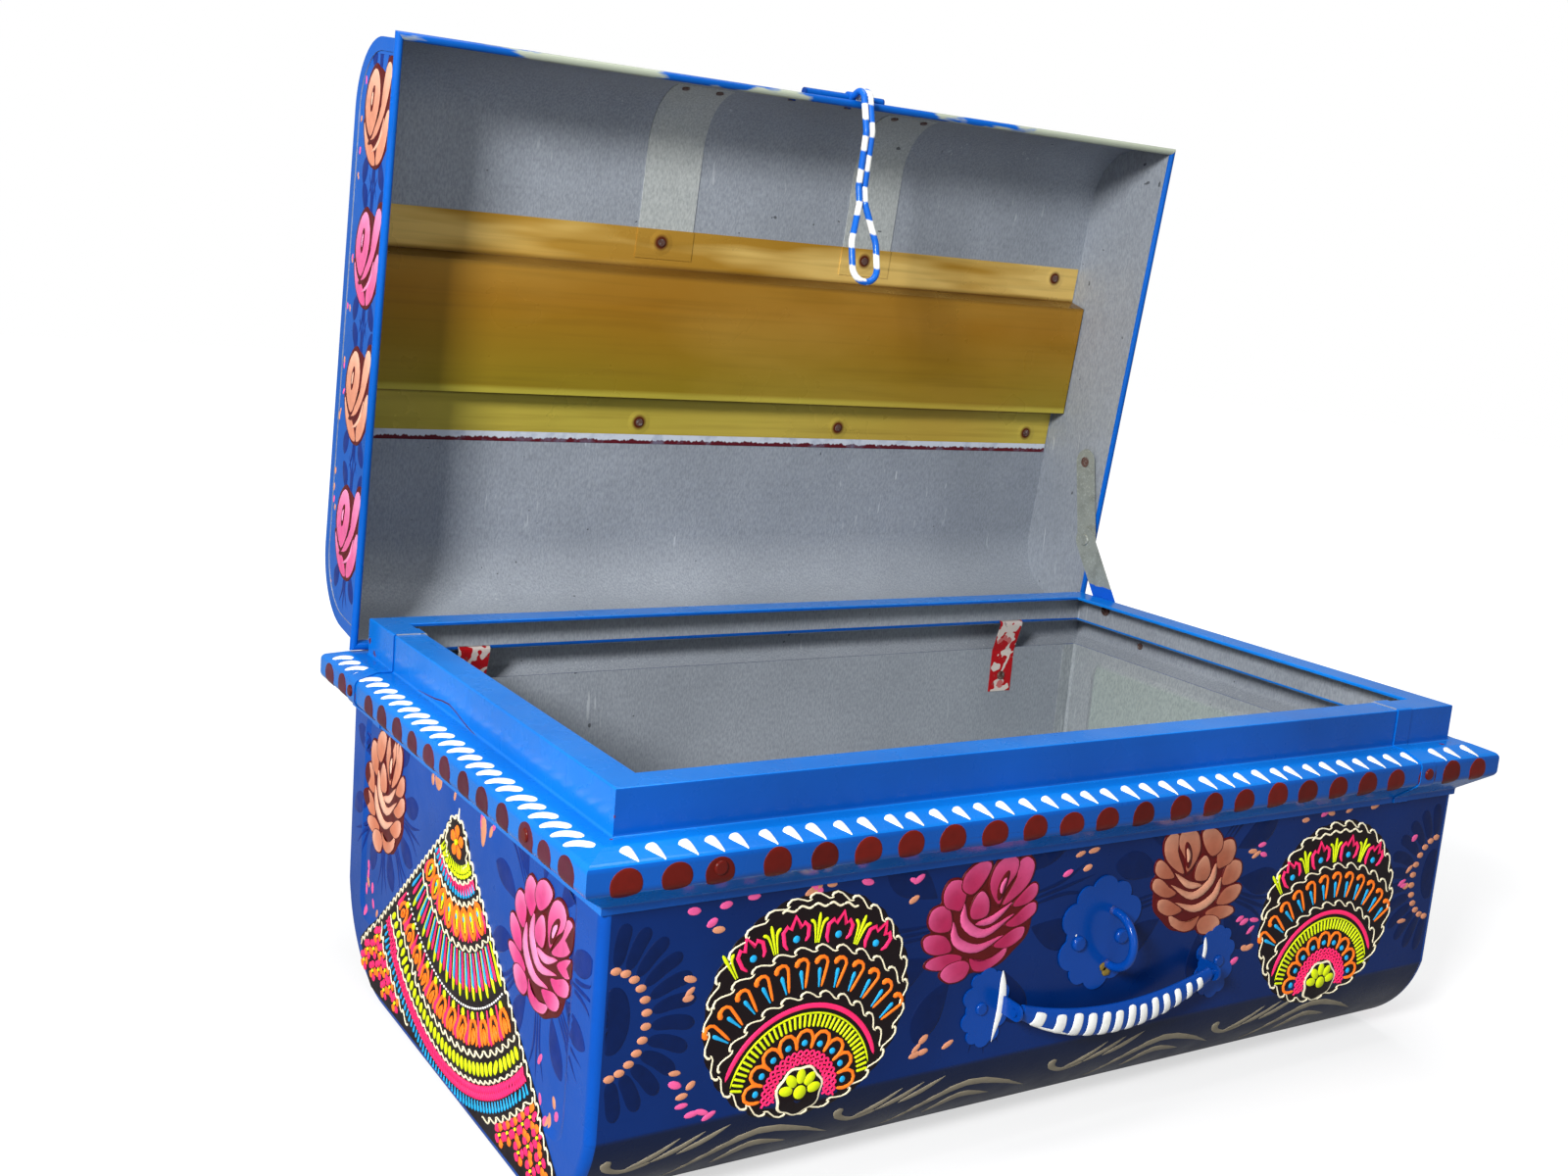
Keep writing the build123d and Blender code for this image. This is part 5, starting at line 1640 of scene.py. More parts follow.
def dress(name: str, materials: Sequence[Material], rule: Optional[Rule] = None) -> None:
    """Gives a CAD node its finishes.

    Args:
        name: the node.
        materials: its finishes; the rule picks among them.
        rule: takes face middles in millimetres and face normals and gives a material number for each face.
    """
    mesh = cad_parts[name].data
    mesh.materials.clear()
    for material in materials:
        mesh.materials.append(material)
    count = len(mesh.polygons)
    index = np.zeros(count, np.int32)
    if rule:
        middle, normal = np.empty(count * 3, np.float32), np.empty(count * 3, np.float32)
        mesh.polygons.foreach_get("center", middle)
        mesh.polygons.foreach_get("normal", normal)
        middle, normal = (values.reshape(-1, 3).astype(float) for values in (middle, normal))
        index = rule(middle / MM, normal).astype(np.int32)
    mesh.polygons.foreach_set("material_index", index)
    mesh.update()
    log.info("%s: %s", name, ", ".join(m.name for m in materials))


def outward_from(point: Array) -> Rule:
    """Makes the rule of a hollow piece.

    Args:
        point: a point inside it.

    Returns:
        A rule that gives 0 for faces that look away from the point and 1 for the rest.
    """

    def rule(middle: Array, normal: Array) -> Array:
        """0 where a face looks away from the point."""
        return np.where(np.einsum("ij,ij->i", normal, middle - point) > 0, 0, 1)

    return rule


def beyond(axis: Array, level: float, origin: Array = ORIGIN) -> Rule:
    """Makes the rule of a piece that shows on one side of a sheet.

    Args:
        axis: the way to that side.
        level: millimetres along it from the origin.
        origin: where the axis starts.

    Returns:
        A rule that gives 0 for faces farther than the level and 1 for the rest.
    """

    def rule(middle: Array, normal: Array) -> Array:
        """0 where a face's middle lies beyond the level."""
        return np.where((middle - origin) @ axis > level, 0, 1)

    return rule


class Painting:
    """Soft leaves, flowers and neon work on one surface, each of which becomes a mesh of its own."""

    def __init__(self, surface: Surface) -> None:
        """Starts with three clean brushes."""
        self.leaves, self.flowers, self.neon = Brush(surface), Brush(surface), Brush(surface)

    def make(self, names: Sequence[str], body: str, slot: str, finishes: "Finishes") -> None:
        """Makes the meshes.

        Args:
            names: names of the leaves, the flowers and, if any, the neon work.
            body: the body that they ride on.
            slot: the record's material slot.
            finishes: the materials.
        """
        brushes = (self.leaves, finishes.paint), (self.flowers, finishes.paint), (self.neon, finishes.neon)
        for name, (brush, finish) in zip(names, brushes):
            brush.make(name, body, slot, finish)


@dataclass
class Body:
    """The trunk's box: wrap, ends, and the paintings on them."""

    finishes: Finishes
    middle: tuple[float, float, float] = (0.0, 0.0, 110.0)
    corner: float = 299.0
    corner_petals: int = 12
    scroll_starts: tuple[float, ...] = (-292.0, -158.0, -12.0, 118.0)
    front_boxes: tuple[Box, ...] = (
        (-262, -236, 160, 174, 4), (-226, -150, 173, 176, 6), (-262, -252, 122, 156, 3),
        (-262, -250, 66, 92, 5), (-130, -122, 158, 172, 3), (-120, -92, 68, 80, 5), (-24, 26, 160, 174, 4),
        (-30, 60, 64, 70, 4), (120, 134, 84, 120, 7), (122, 136, 150, 170, 4), (150, 240, 172, 176, 5),
        (266, 276, 90, 160, 6), (-250, -236, 62, 72, 3),
    )
    back_boxes: tuple[Box, ...] = (
        (-110, -80, 80, 160, 9), (80, 110, 80, 160, 9), (-285, -270, 80, 160, 6), (270, 285, 80, 160, 6),
    )

    def dress(self) -> None:
        """Paints the CAD nodes' outsides and leaves their insides bare."""
        look = outward_from(np.array(self.middle))
        dress("body_wrap", (self.finishes.body, self.finishes.sheet), look)
        for name in ("body_end_left", "body_end_right"):
            dress(name, (self.finishes.ends, self.finishes.end_sheet), look)

    def front(self) -> None:
        """Paints medallions, roses, leaves and the lower scrolls on the front wall."""
        work = Painting(Places.wall(-1))
        left, right = (-62, -118, -150, 48, 104, 150), (-75, -125, -20, 60, 95, 132, 170)
        # The front wall's leaves and corner flowers take the darker copy of the leaf navy: painted shade.
        Leaves(-79, 142, 36, 74, left, (-92, 78, 20, 172), 11.5, Hue.NAVY_SHADED).paint(work.leaves)
        Leaves(81, 144, 34, 70, right, (-48, 112, 40, -100), 10.5, Hue.NAVY_SHADED).paint(work.leaves)
        for side in (-1, 1):
            self.corner_flower(work, side)
        self.lower_scrolls(work.flowers)
        sprinkle(work.flowers, self.front_boxes, 7, lean=10.0)
        # The front roses take the darker copies of the rose and peach tones: painted shade.
        Rose(-79.8, 143.4, 38, 32.4, -4, 1.0, ROSE_SHADED_TONES).paint(work.flowers)
        Rose(80.4, 144.2, 37.4, 32.3, 6, -1.0, PEACH_SHADED_TONES).paint(work.flowers)
        Medallion(-185.5, 111.2, 61.8, 2).paint(work.neon)
        Medallion(199.5, 108.0, 61.5, -2).paint(work.neon)
        work.make(("front_leaves", "front_flowers", "front_medallions"), "trunk", "body_paint", self.finishes)

    def corner_flower(self, work: Painting, side: float) -> None:
        """Half flower on an upright corner: an almond, an arc of dots and a fan of petals.

        Args:
            work: the front wall's painting.
            side: -1 for the left corner, 1 for the right.
        """
        middle = np.array([side * self.corner, 120.0])
        for a in np.radians(np.linspace(9, 171, self.corner_petals)):
            out = np.array([-side * np.sin(a), np.cos(a)])
            foot, tip = middle + out * (24, 29), middle + out * (48, 51)
            line, share = flowing([foot, (foot + tip) / 2 + (0, 1.5), tip], 13)
            widths = 5.2 * Taper.BEAN.widths(share[::-1])
            work.leaves.ribbons(line[None], widths[None], Hue.NAVY_SHADED.rgb, 0.08, 0.02)
            dot = oval(middle + out * (21.3, 27.5), (2.9, 2.0), 18)
            work.flowers.blobs(dot, Hue.SALMON.rgb, 0.3, 0.0, 1)
        work.leaves.blobs(oval((side * 295.5, 122.0), (9.0, 17.5), 40), Hue.NAVY_SHADED.rgb, 0.1, 0.0, 3)

    def lower_scrolls(self, brush: Brush) -> None:
        """Tan scrolls below the crease: a hooked group of slanting strokes, then a long wave over a swoosh.

        Args:
            brush: what they are painted with.
        """
        scroll = (
            (((0, 47), (2, 40), (12, 35), (26, 38)), 3.0, Taper.HOOK),
            *((((12 + 14 * k, 36 + 2 * k), (25 + 14 * k, 42 + 2 * k), (39 + 14 * k, 52 + k)), 2.3, Taper.LEAF)
              for k in range(3)),
            (((40, 16), (62, 34), (86, 44), (112, 38), (134, 27)), 3.0, Taper.LEAF),
            (((66, 20), (84, 33), (108, 28)), 3.4, Taper.LEAF),
        )
        for start in self.scroll_starts:
            for points, width, taper in scroll:
                brush.free([(start + u, v) for u, v in points], width, Hue.TAN, taper, 0.3)

    def ends(self) -> None:
        """Paints a fan and two roses on each end."""
        for side, name in ((-1.0, "left"), (1.0, "right")):
            work = Painting(PressedEnd(side))
            rear, front = side * 123.0, -side * 118.5
            low, high = min(rear, front), max(rear, front)
            rear_leaves = (-15, 40, 80, 118, 160, 200, 245, 300)
            front_leaves = (-35, 0, 35, 75, 115, 150, 205, 250, 290)
            Leaves(rear, 135.5, 32, 60, rear_leaves, (15, 100, 140, 180, 225), 8.5).paint(work.leaves)
            Leaves(front, 133.5, 34, 66, front_leaves, (92, 132, 178, 228, 320), 8.5).paint(work.leaves)
            boxes = ((low - 30, low - 6, 44, 82, 8), (high + 6, high + 30, 44, 82, 8), (-60, 60, 168, 184, 9))
            sprinkle(work.flowers, boxes, 11)
            Rose(rear, 136.2, 37, 38.5, 8 * side, 1.0, PEACH_TONES).paint(work.flowers)
            Rose(front, 133.1, 37.5, 36, -12 * side).paint(work.flowers)
            for middle, half in (((side * 33.0, 171.5), (5.5, 4.6)), ((-side * 37.0, 166.0), (3.8, 8.5))):
                work.flowers.blobs(oval(middle, half, 24, 0.07, 3), Hue.SALMON.rgb, 0.25, 0.0, 1)
            EndFan().paint(work.neon)
            names = (f"end_leaves_{name}", f"end_flowers_{name}", f"end_fan_{name}")
            work.make(names, "trunk", "end_paint", self.finishes)

    def back(self) -> None:
        """Paints a plainer row of roses and leaves on the back wall."""
        work = Painting(Places.wall(1))
        for u, tones in ((-190, PEACH_TONES), (0, ROSE_TONES), (190, PEACH_TONES)):
            angles, fine = (-60, -100, -140, 60, 100, 140), (-80, 80, -120, 120)
            Leaves(u, 118, 34, 72, angles, fine, 10, Hue.NAVY_DEEP).paint(work.leaves)
            Rose(u, 118, 36, 38, 5, 1.0, tones).paint(work.flowers)
        sprinkle(work.flowers, self.back_boxes, 5)
        self.lower_scrolls(work.flowers)
        work.make(("back_leaves", "back_flowers"), "trunk", "body_paint", self.finishes)


@dataclass
class EndFan:
    """Neon fan on a black ground that opens downward on an end pan; its outer rings show at the sides."""

    u: float = 0.0
    v: float = 162.0
    half: float = 49.5
    depth: float = 205.0
    lift: float = 0.42
    whole_rings: float = 160.0
    rows: tuple[Row, ...] = (
        Row(29.5, TICK_SHORT, 2.6, 2.6),
        Row(33.5, DOT_LIME, 4.6, 1.3),
        Row(36.4, CURL, 7.0, 1.5, 0.0, 0.0),
        Row(40.5, BIT_PINK, 4.0, 3.4),
        Row(42.5, BIT_SKY, 4.0, 2.8, 0.0, 1.0),
        Row(48.0, CURL, 8.0, 2.0, 0.0, 0.0),
        Row(59.5, PEACOCK, 12.4, 9.2, 5.8),
        Row(72.0, CURL, 9.5, 2.2, 0.0, 0.0),
        Row(88.0, RAY, 9.4, 13.0, 9.0),
        Row(104.5, DOT_WHITE, 3.4, 1.2),
        Row(115.5, FLAME, 15.4, 9.6, 7.0),
        Row(128.0, CURL, 9.6, 2.4, 0.0, 0.0),
        Row(136.6, DOT_LIME, 6.2, 3.8),
        Row(143.0, CURL, 7.4, 1.3, 0.0, 0.0),
        Row(149.0, NET, 3.0, 4.0),
        Row(156.5, BIT_SKY, 4.4, 3.0),
        Row(162.5, CURL, 9.6, 2.2, 0.0, 0.0),
        Row(170.5, BLOSSOM, 11.4, 7.4, 7.2),
        Row(182.0, BLOSSOM, 11.4, 7.4, 7.2, 0.3),
        Row(193.5, BLOSSOM, 11.4, 7.4, 7.2, 0.6),
        Row(205.0, BLOSSOM, 11.4, 7.4, 7.2, 0.5),
    )

    def limit(self, radius: float) -> float:
        """Half angle of a ring: the fan's own, a little less near the middle."""
        return self.half - 2.2 - 90.0 / max(radius, 8.0)

    def paint(self, brush: Brush) -> None:
        """Paints the ground over the pan's field, the rings, the scrolled sides and the dome at the top.

        Args:
            brush: what it is painted with.
        """
        self.ground(brush)
        for row in self.rows:
            if row.radius < self.whole_rings:
                Fan(self.u, self.v, 180.0, 1.0, (row,), self.limit, self.lift).paint(brush)
                continue
            for side in (-1, 1):
                self.ring_end(brush, row, side)
        for side in (-1, 1):
            ray = compass(180 + side * (self.half - 1.0))[0]
            top, end = (np.array([self.u, self.v]) + ray * far for far in (14, self.reach(self.half)))
            edge = Curve.straight(tuple(top), tuple(end))
            self.curls(brush, edge, int(edge.length / 7.6), side * -1.9, self.lift)
        self.dome(brush)

    @staticmethod
    def curls(brush: Brush, curve: Curve, count: int, rise: float, lift: float) -> None:
        """Fills a curve with curls, laid on paint of the height lift."""
        pitch = curve.length / count
        brush.motif(CURL, curve, np.arange(count) * curve.length / count, (pitch, rise), lift)

    def ring_end(self, brush: Brush, row: Row, side: int) -> None:
        """Paints the stretch of a ring that is too wide for the pan's height.

        Args:
            brush: what it is painted with.
            row: the ring.
            side: the side of the fan.
        """
        low = np.degrees(np.arccos(np.clip((self.v - 11.0) / row.radius, -1, 1)))
        inner, outer = low + 0.3, self.limit(row.radius) + 1.0
        if outer - inner < 2:
            return
        curve = Curve.arc(self.u, self.v, row.radius, *sorted((180 + side * inner, 180 + side * outer)))
        count = max(1, int(curve.length / row.pitch))
        spots = (np.arange(count) + row.shift) * curve.length / count
        brush.motif(row.motif, curve, spots, (row.wide or curve.length / count, row.reach), self.lift)

    def dome(self, brush: Brush) -> None:
        """Paints the black dome with its crown of curls and its flower.

        Args:
            brush: what it is painted with.
        """
        brush.blobs(oval((self.u, self.v - 16.0), (19.5, 14.0), 60, 0.02, 15), Hue.BLACK.rgb, 0.36, 0.0, 2)
        brush.free(((self.u, self.v - 3), (self.u + 1, self.v + 5)), 1.6, Hue.CREAM, Taper.DROP, 0.6, 0.1)
        self.curls(brush, Curve.arc(self.u, self.v - 17, 15.5, -130, 130), 9, 1.7, 0.34)
        middle = np.array([self.u, self.v - 15.0])
        for angle in (-72, 0, 72, 144, 216):
            ray = compass(angle)[0]
            brush.free([middle + ray * 1.5, middle + ray * 10.0], 3.9, Hue.ORANGE, Taper.PETAL, 0.7, 0.36, 11)
        brush.blobs(circle(middle[0], middle[1], 1.7, 18), Hue.LIME.rgb, 1.2, 0.2, 1)

    def reach(self, angle: float) -> float:
        """How far the fan goes at an angle from straight down, on the pan's flat outline."""
        flat = (self.v - 3.5) / max(np.cos(np.radians(abs(angle))), 1e-3)
        return float(min(flat, self.depth))

    def ground(self, brush: Brush) -> None:
        """Paints the black ground: a grid of rays and rings over one in the sheet, joined round its edge.

        Args:
            brush: what it is painted with.
        """
        angles = np.linspace(-self.half, self.half, 61)
        a = np.radians(180 - angles)
        near, far = 2.0, np.array([self.reach(angle) for angle in angles])
        radius = near + np.linspace(0.0, 1.0, 70)[:, None] * (far - near)
        rows, cols = radius.shape
        uv = np.stack([self.u + radius * np.sin(a), self.v + radius * np.cos(a)], -1)
        lift = np.repeat([0.32, -Brush.SINK], rows)[:, None] * np.ones(cols)
        k, j = (g.ravel() for g in np.meshgrid(np.arange(rows - 1), np.arange(cols - 1), indexing="ij"))
        n = k * cols + j
        top = np.vstack([np.stack([n, n + cols, n + cols + 1], 1), np.stack([n, n + cols + 1, n + 1], 1)])
        below = rows * cols
        ring = np.concatenate([
            np.arange(cols - 1), np.arange(rows - 1) * cols + cols - 1,
            (rows - 1) * cols + np.arange(cols - 1, 0, -1), np.arange(rows - 1, 0, -1) * cols,
        ])
        after = np.roll(ring, -1)
        edge = (ring, after, after + below), (ring, after + below, ring + below)
        faces = np.vstack([top, top[:, ::-1] + below, *(np.stack(corners, 1) for corners in edge)])
        brush.keep(np.concatenate([uv, uv]), lift, Hue.BLACK.rgb, faces, 1)


@dataclass
class Rim:
    """Rolled moulding and collar with their dots and commas, the cleat and the rivets."""

    finishes: Finishes
    dot_pitch: float = 25.5
    comma_pitch: float = 14.4
    bean_pitch: float = 13.8
    dot_level: float = 28.6
    comma_level: float = 44.6
    scratch: tuple[Point, ...] = ((-86.0, 61.5), (-60.0, 63.5), (-34.0, 66.5), (-8.0, 62.0), (12.0, 60.5))

    RIVETS: ClassVar[dict[str, tuple[float, ...]]] = {
        "front": (-254.0, 252.0), "back": (-245.0, 245.0), "left": (-137.5, 135.5), "right": (127.0,),
    }

    @staticmethod
    def painted(middle: Array, normal: Array) -> Array:
        """Rule of the rim strips, by the distance d out from the wall and the height h over the ledge.

        Args:
            middle: face middles in millimetres.
            normal: face normals.

        Returns:
            0 on the rim's outside, 1 on its bare inside, 2 on the outside's upright front faces, which take a
            darker copy of the enamel as painted shade.
        """
        across = np.abs(middle[:, 0]) - HALF_LENGTH > np.abs(middle[:, 1]) - HALF_DEPTH
        out = np.where(across[:, None], RIGHT * np.sign(middle[:, :1]), BACK * np.sign(middle[:, 1:2]))
        d = np.where(across, np.abs(middle[:, 0]) - HALF_LENGTH, np.abs(middle[:, 1]) - HALF_DEPTH)
        h = middle[:, 2] - LEDGE
        side, rise = np.einsum("ij,ij->i", normal, out), normal[:, 2]
        moulding = side * (d - 8.0) + rise * (h + 14.0) > 0
        collar = np.where(d > -8.0, side > 0, np.where(d < -25.0, (side < 0) | (rise > 0), rise > 0))
        foot = (d < -3.0) & (h > -0.6) & (h < 2.6) & (d > -6.3) & (side + rise > 0)
        seen = np.where(h > 2.0, collar, np.where(h < -30.5, side > 0, moulding)) | foot
        along = np.abs(np.where(across, normal[:, 1], normal[:, 0]))
        seen |= (along > 0.9) & (d > -8.0)
        return np.where(seen, np.where(normal[:, 1] < -0.8, 2, 0), 1)

    @staticmethod
    def rivet_heads(middle: Array, normal: Array) -> Array:
        """Rule of the rim's rivets.

        Args:
            middle: face middles in millimetres.
            normal: face normals; not used.

        Returns:
            0 on the heads outside the moulding, 1 inside it.
        """
        face = 16.9
        outside = (np.abs(middle[:, 0]) > HALF_LENGTH + face) | (np.abs(middle[:, 1]) > HALF_DEPTH + face)
        return np.where(outside, 0, 1)

    def dress(self) -> None:
        """Paints the rim's outside; the rivets' heads are enamel outside and bare inside."""
        for name in ("rim_strip_front_left", "rim_strip_back_right"):
            # The rim's front faces get the darker enamel: painted shade.
            dress(name, (self.finishes.rim, self.finishes.sheet, self.finishes.rim_front_shaded), self.painted)
        dress("rim_corner_cleat", (self.finishes.sheet,))
        dress("rim_rivets", (self.finishes.brick, self.finishes.rivet), self.rivet_heads)

    @staticmethod
    def spread(length: float, pitch: float, rng: np.random.Generator) -> Array:
        """Uneven places along a length, counted from its middle.

        Args:
            length: the length.
            pitch: about how far apart they are.
            rng: where the draws come from.

        Returns:
            The places.
        """
        count = int(length / pitch)
        return (np.arange(count) + 0.5) * length / count + rng.normal(0, 0.7, count)

    def paint(self) -> None:
        """Paints dots on the face and white commas on the slope, on all four sides."""
        for name, out in (("front", -BACK), ("back", BACK), ("left", -RIGHT), ("right", RIGHT)):
            long = name in ("front", "back")
            half = HALF_LENGTH if long else HALF_DEPTH
            dots, commas = Brush(Places.rim(out)), Brush(Places.rim(out))
            rng = np.random.default_rng(len(name))
            self.dots(dots, name, half + 10.0, Hue.BRICK if long else Hue.PLUM, rng)
            spots = self.spread(2 * half, self.comma_pitch if long else self.bean_pitch, rng)
            line = Curve.straight((-half, self.comma_level), (half, self.comma_level))
            motif, size = (COMMA, (4.2, 6.2)) if long else (LONG_COMMA, (8.4, 6.0))
            for spot in spots:
                commas.motif(motif, line, [spot], tuple(np.array(size) * rng.uniform(0.9, 1.08)))
            if name == "left":
                commas.free(self.scratch, 0.55, Hue.MAROON, Taper.LEAF, 0.06)
            dots.make(f"rim_dots_{name}", "trunk", "rim_paint", self.finishes.paint)
            commas.make(f"rim_commas_{name}", "trunk", "rim_paint", self.finishes.paint)

    def dots(self, brush: Brush, name: str, reach: float, hue: Hue, rng: np.random.Generator) -> None:
        """Paints one side's dots, of which those near a rivet go over its head.

        Args:
            brush: what they are painted with.
            name: the side.
            reach: how far the row goes from the side's middle.
            hue: the dots' colour.
            rng: where the draws come from.
        """
        for spot in self.spread(2 * reach, self.dot_pitch, rng) - reach:
            spot = next((u for u in self.RIVETS[name] if abs(u - spot) < self.dot_pitch / 2), spot)
            wide, tall, low, lean = rng.normal((8.3, 8.6, self.dot_level, 0.0), (0.35, 0.4, 0.4, 0.12))
            ring = circle(0, 0, 1.0, 28, 0.015, 3)[0]
            shape = ring * (wide, tall) + ring[:, ::-1] * (lean, 0.0) + (spot, low)
            brush.blobs(shape[None], hue.rgb * rng.uniform(0.7, 1.15), 0.3, 0.0, 6)


@dataclass
class Fittings:
    """Staple, handle, hinge straps and the folding stay."""

    finishes: Finishes
    stripes: int = 13
    stripe_start: float = -43.0
    stripe_run: float = 121.0

    def dress(self) -> None:
        """Gives the fittings their finishes; what shows outside the front wall is enamel."""
        enamel, rivet = self.finishes.fitting, self.finishes.rivet
        outside = beyond(-BACK, HALF_DEPTH - 0.2)
        for name in ("staple_plate", "handle_plate_left", "handle_plate_right", "handle_bail"):
            dress(name, (enamel,))
        for name in ("staple", "staple_plate_rivets", "handle_plate_rivets"):
            dress(name, (enamel, rivet), outside)
        for name in ("hinge_strap_left", "hinge_strap_right"):
            dress(name, (self.finishes.tin,))
        dress("hinge_strap_rivets", (rivet, self.finishes.body), beyond(-BACK, 0.4 - HALF_DEPTH))
        dress("stay_pivot_rivet", (rivet,))
        dress("stay_anchor_rivet", (rivet,))
        dress("stay_lower_link", (self.finishes.lower_link,))
        dress("stay_upper_link", (self.finishes.link,))

    def paint(self) -> None:
        """Paints white stripes over the grip, strokes beside it and solder on the staple."""
        grip = Brush(Bail())
        rng = np.random.default_rng(3)
        shares = np.linspace(0, 1, self.stripes) ** 0.82
        for step, u in enumerate(self.stripe_start + self.stripe_run * shares):
            high, low, lean = rng.uniform(4.6, 6.2), rng.uniform(-11.0, -9.8), rng.normal(0, 0.4, 2)
            wide = np.interp(step, (0, 4, self.stripes - 1), (4.3, 3.5, 2.2))
            grip.free(((u + lean[0], high), (u, -3.0), (u + lean[1], low)), wide, Hue.WHITE, Taper.LINE, 0.35)
        under = ((-47.0, -7.6), (-38.0, -8.4), (-26.0, -7.8), (-16.0, -8.8))
        grip.free(under, 2.6, Hue.WHITE, Taper.LEAF, 0.35)
        grip.make("handle_stripes", "handle", "fitting_paint", self.finishes.paint)
        front = Brush(Plane(-BACK * (HALF_DEPTH + 1.0), RIGHT, UP))
        front.free(((-61.0, 111.0), (-59.6, 92.0), (-64.0, 70.0)), 3.0, Hue.WHITE, Taper.LEAF, 0.35)
        front.free(((92.5, 108.0), (93.5, 98.0), (91.5, 88.0)), 1.8, Hue.WHITE, Taper.LEAF, 0.35)
        for u, v, radius in ((15.0, 99.5, 3.4), (12.2, 102.0, 2.4), (18.0, 101.0, 2.2)):
            front.blobs(circle(u, v, radius, 20, 0.08, 5), Hue.SOLDER.rgb * (0.5 + u / 30), 0.9, 0.0, 2)
        front.make("handle_plate_strokes", "trunk", "fitting_paint", self.finishes.paint)


@dataclass
class Lid:
    """The lid's shell, its channel and straps, and the paintings on it."""

    finishes: Finishes
    heart_height: float = 34.0
    border: float = 88.0
    border_half: float = 292.0
    border_commas: int = 38

    def shell(self, middle: Array, normal: Array) -> Array:
        """Rule of the lid's sheets.

        Args:
            middle: face middles in millimetres.
            normal: face normals.

        Returns:
            0 outside and on the wired edge, 1 inside, 2 on the worn front edge.
        """
        heart = HINGE - LID_BACK * LID_SPAN / 2 + LID_UP * self.heart_height
        away = np.einsum("ij,ij->i", normal, middle - heart) > 0
        height, reach = (middle - HINGE) @ LID_UP, (middle - HINGE) @ LID_BACK
        return np.where(away | (height < 2.6), np.where((height < 2.9) & (reach < -371.5), 2, 0), 1)

    def dress(self) -> None:
        """Paints the lid's outside and its wired edge; the inside is bare and the channel gold."""
        enamel, rivet = self.finishes.lid, self.finishes.rivet
        for name in ("lid_wrap", "lid_end_left", "lid_end_right"):
            dress(name, (enamel, self.finishes.sheet, self.finishes.lid_rim), self.shell)
        plain = {
            "lid_edge_wire": self.finishes.wire,
            "lid_channel": self.finishes.gold,
            "channel_backing_strip": self.finishes.strip,
            "lid_stiffener_left": self.finishes.strap,
            "lid_stiffener_right": self.finishes.strap,
            "hasp_bracket": enamel,
            "hasp_pin": self.finishes.fitting,
            "hasp": self.finishes.hasp,
        }
        for name, finish in plain.items():
            dress(name, (finish,))
        dress("channel_rivets", (enamel, rivet), beyond(LID_UP, LID_CROWN - 0.1, HINGE))
        for name in ("stiffener_rivets", "hasp_bracket_rivets"):
            dress(name, (enamel, rivet), beyond(-LID_BACK, 372.5, HINGE))

    def paint_ends(self) -> None:
        """Paints four roses in a row on each lid end, with leaves between."""
        tones = ((328.5, PEACH_TONES), (243.2, ROSE_TONES), (156.5, PEACH_TONES), (66.0, ROSE_TONES))
        for side, name in ((-1.0, "left"), (1.0, "right")):
            work = Painting(Places.lid_end(side))
            for reach, pair in tones:
                u = side * 34.0
                Leaves(u, reach, 26, 47, (-24, 24, 156, 204), (0, 180), 6.4).paint(work.leaves)
                Rose(u, reach, 26.5, 31, 4 * side, -side, pair, RoseKind.BUD).paint(work.flowers)
            outer, inner = side * 65, side * 8
            boxes = [(outer - 4, outer + 4, 20, 350, 18)]
            boxes += [(inner - 3, inner + 3, low, high, 2) for low, high in ((108, 120), (196, 206))]
            sprinkle(work.flowers, boxes, 17, 0.75)
            names = (f"lid_end_leaves_{name}", f"lid_end_flowers_{name}")
            work.make(names, "lid", "lid_paint", self.finishes)

    def paint_shell(self) -> None:
        """Paints roses and medallions over the crown, and commas round its borders."""
        shell = Places.lid_shell()
        work = Painting(shell)
        end = shell.run[-1]
        angles, fine = (-55, -90, -125, 55, 90, 125, 0, 180), (-72, 72, -108, 108, 20, 160)
        for u, tones in ((-215, ROSE_TONES), (0, PEACH_TONES), (215, ROSE_TONES)):
            Leaves(u, end / 2, 42, 82, angles, fine, 12).paint(work.leaves)
            Rose(u, end / 2, 46, 48, 6, 1.0, tones).paint(work.flowers)
        for u in (-107, 107):
            Medallion(u, end / 2, 58.0).paint(work.neon)
        count, length = self.border_commas, 2 * self.border_half
        for v in (self.border, end - self.border):
            line = Curve.straight((-self.border_half, v), (self.border_half, v))
            work.flowers.motif(COMMA, line, (np.arange(count) + 0.5) * length / count, (5.0, 6.5))
        for u in (-190, -70, 70, 190):
            Leaves(u, 44, 16, 44, (-60, -100, 60, 100), (-80, 80), 6.5).paint(work.leaves)
            Rose(u, 44, 19, 20).paint(work.flowers)
        work.make(("lid_leaves", "lid_flowers", "lid_medallions"), "lid", "lid_paint", self.finishes)


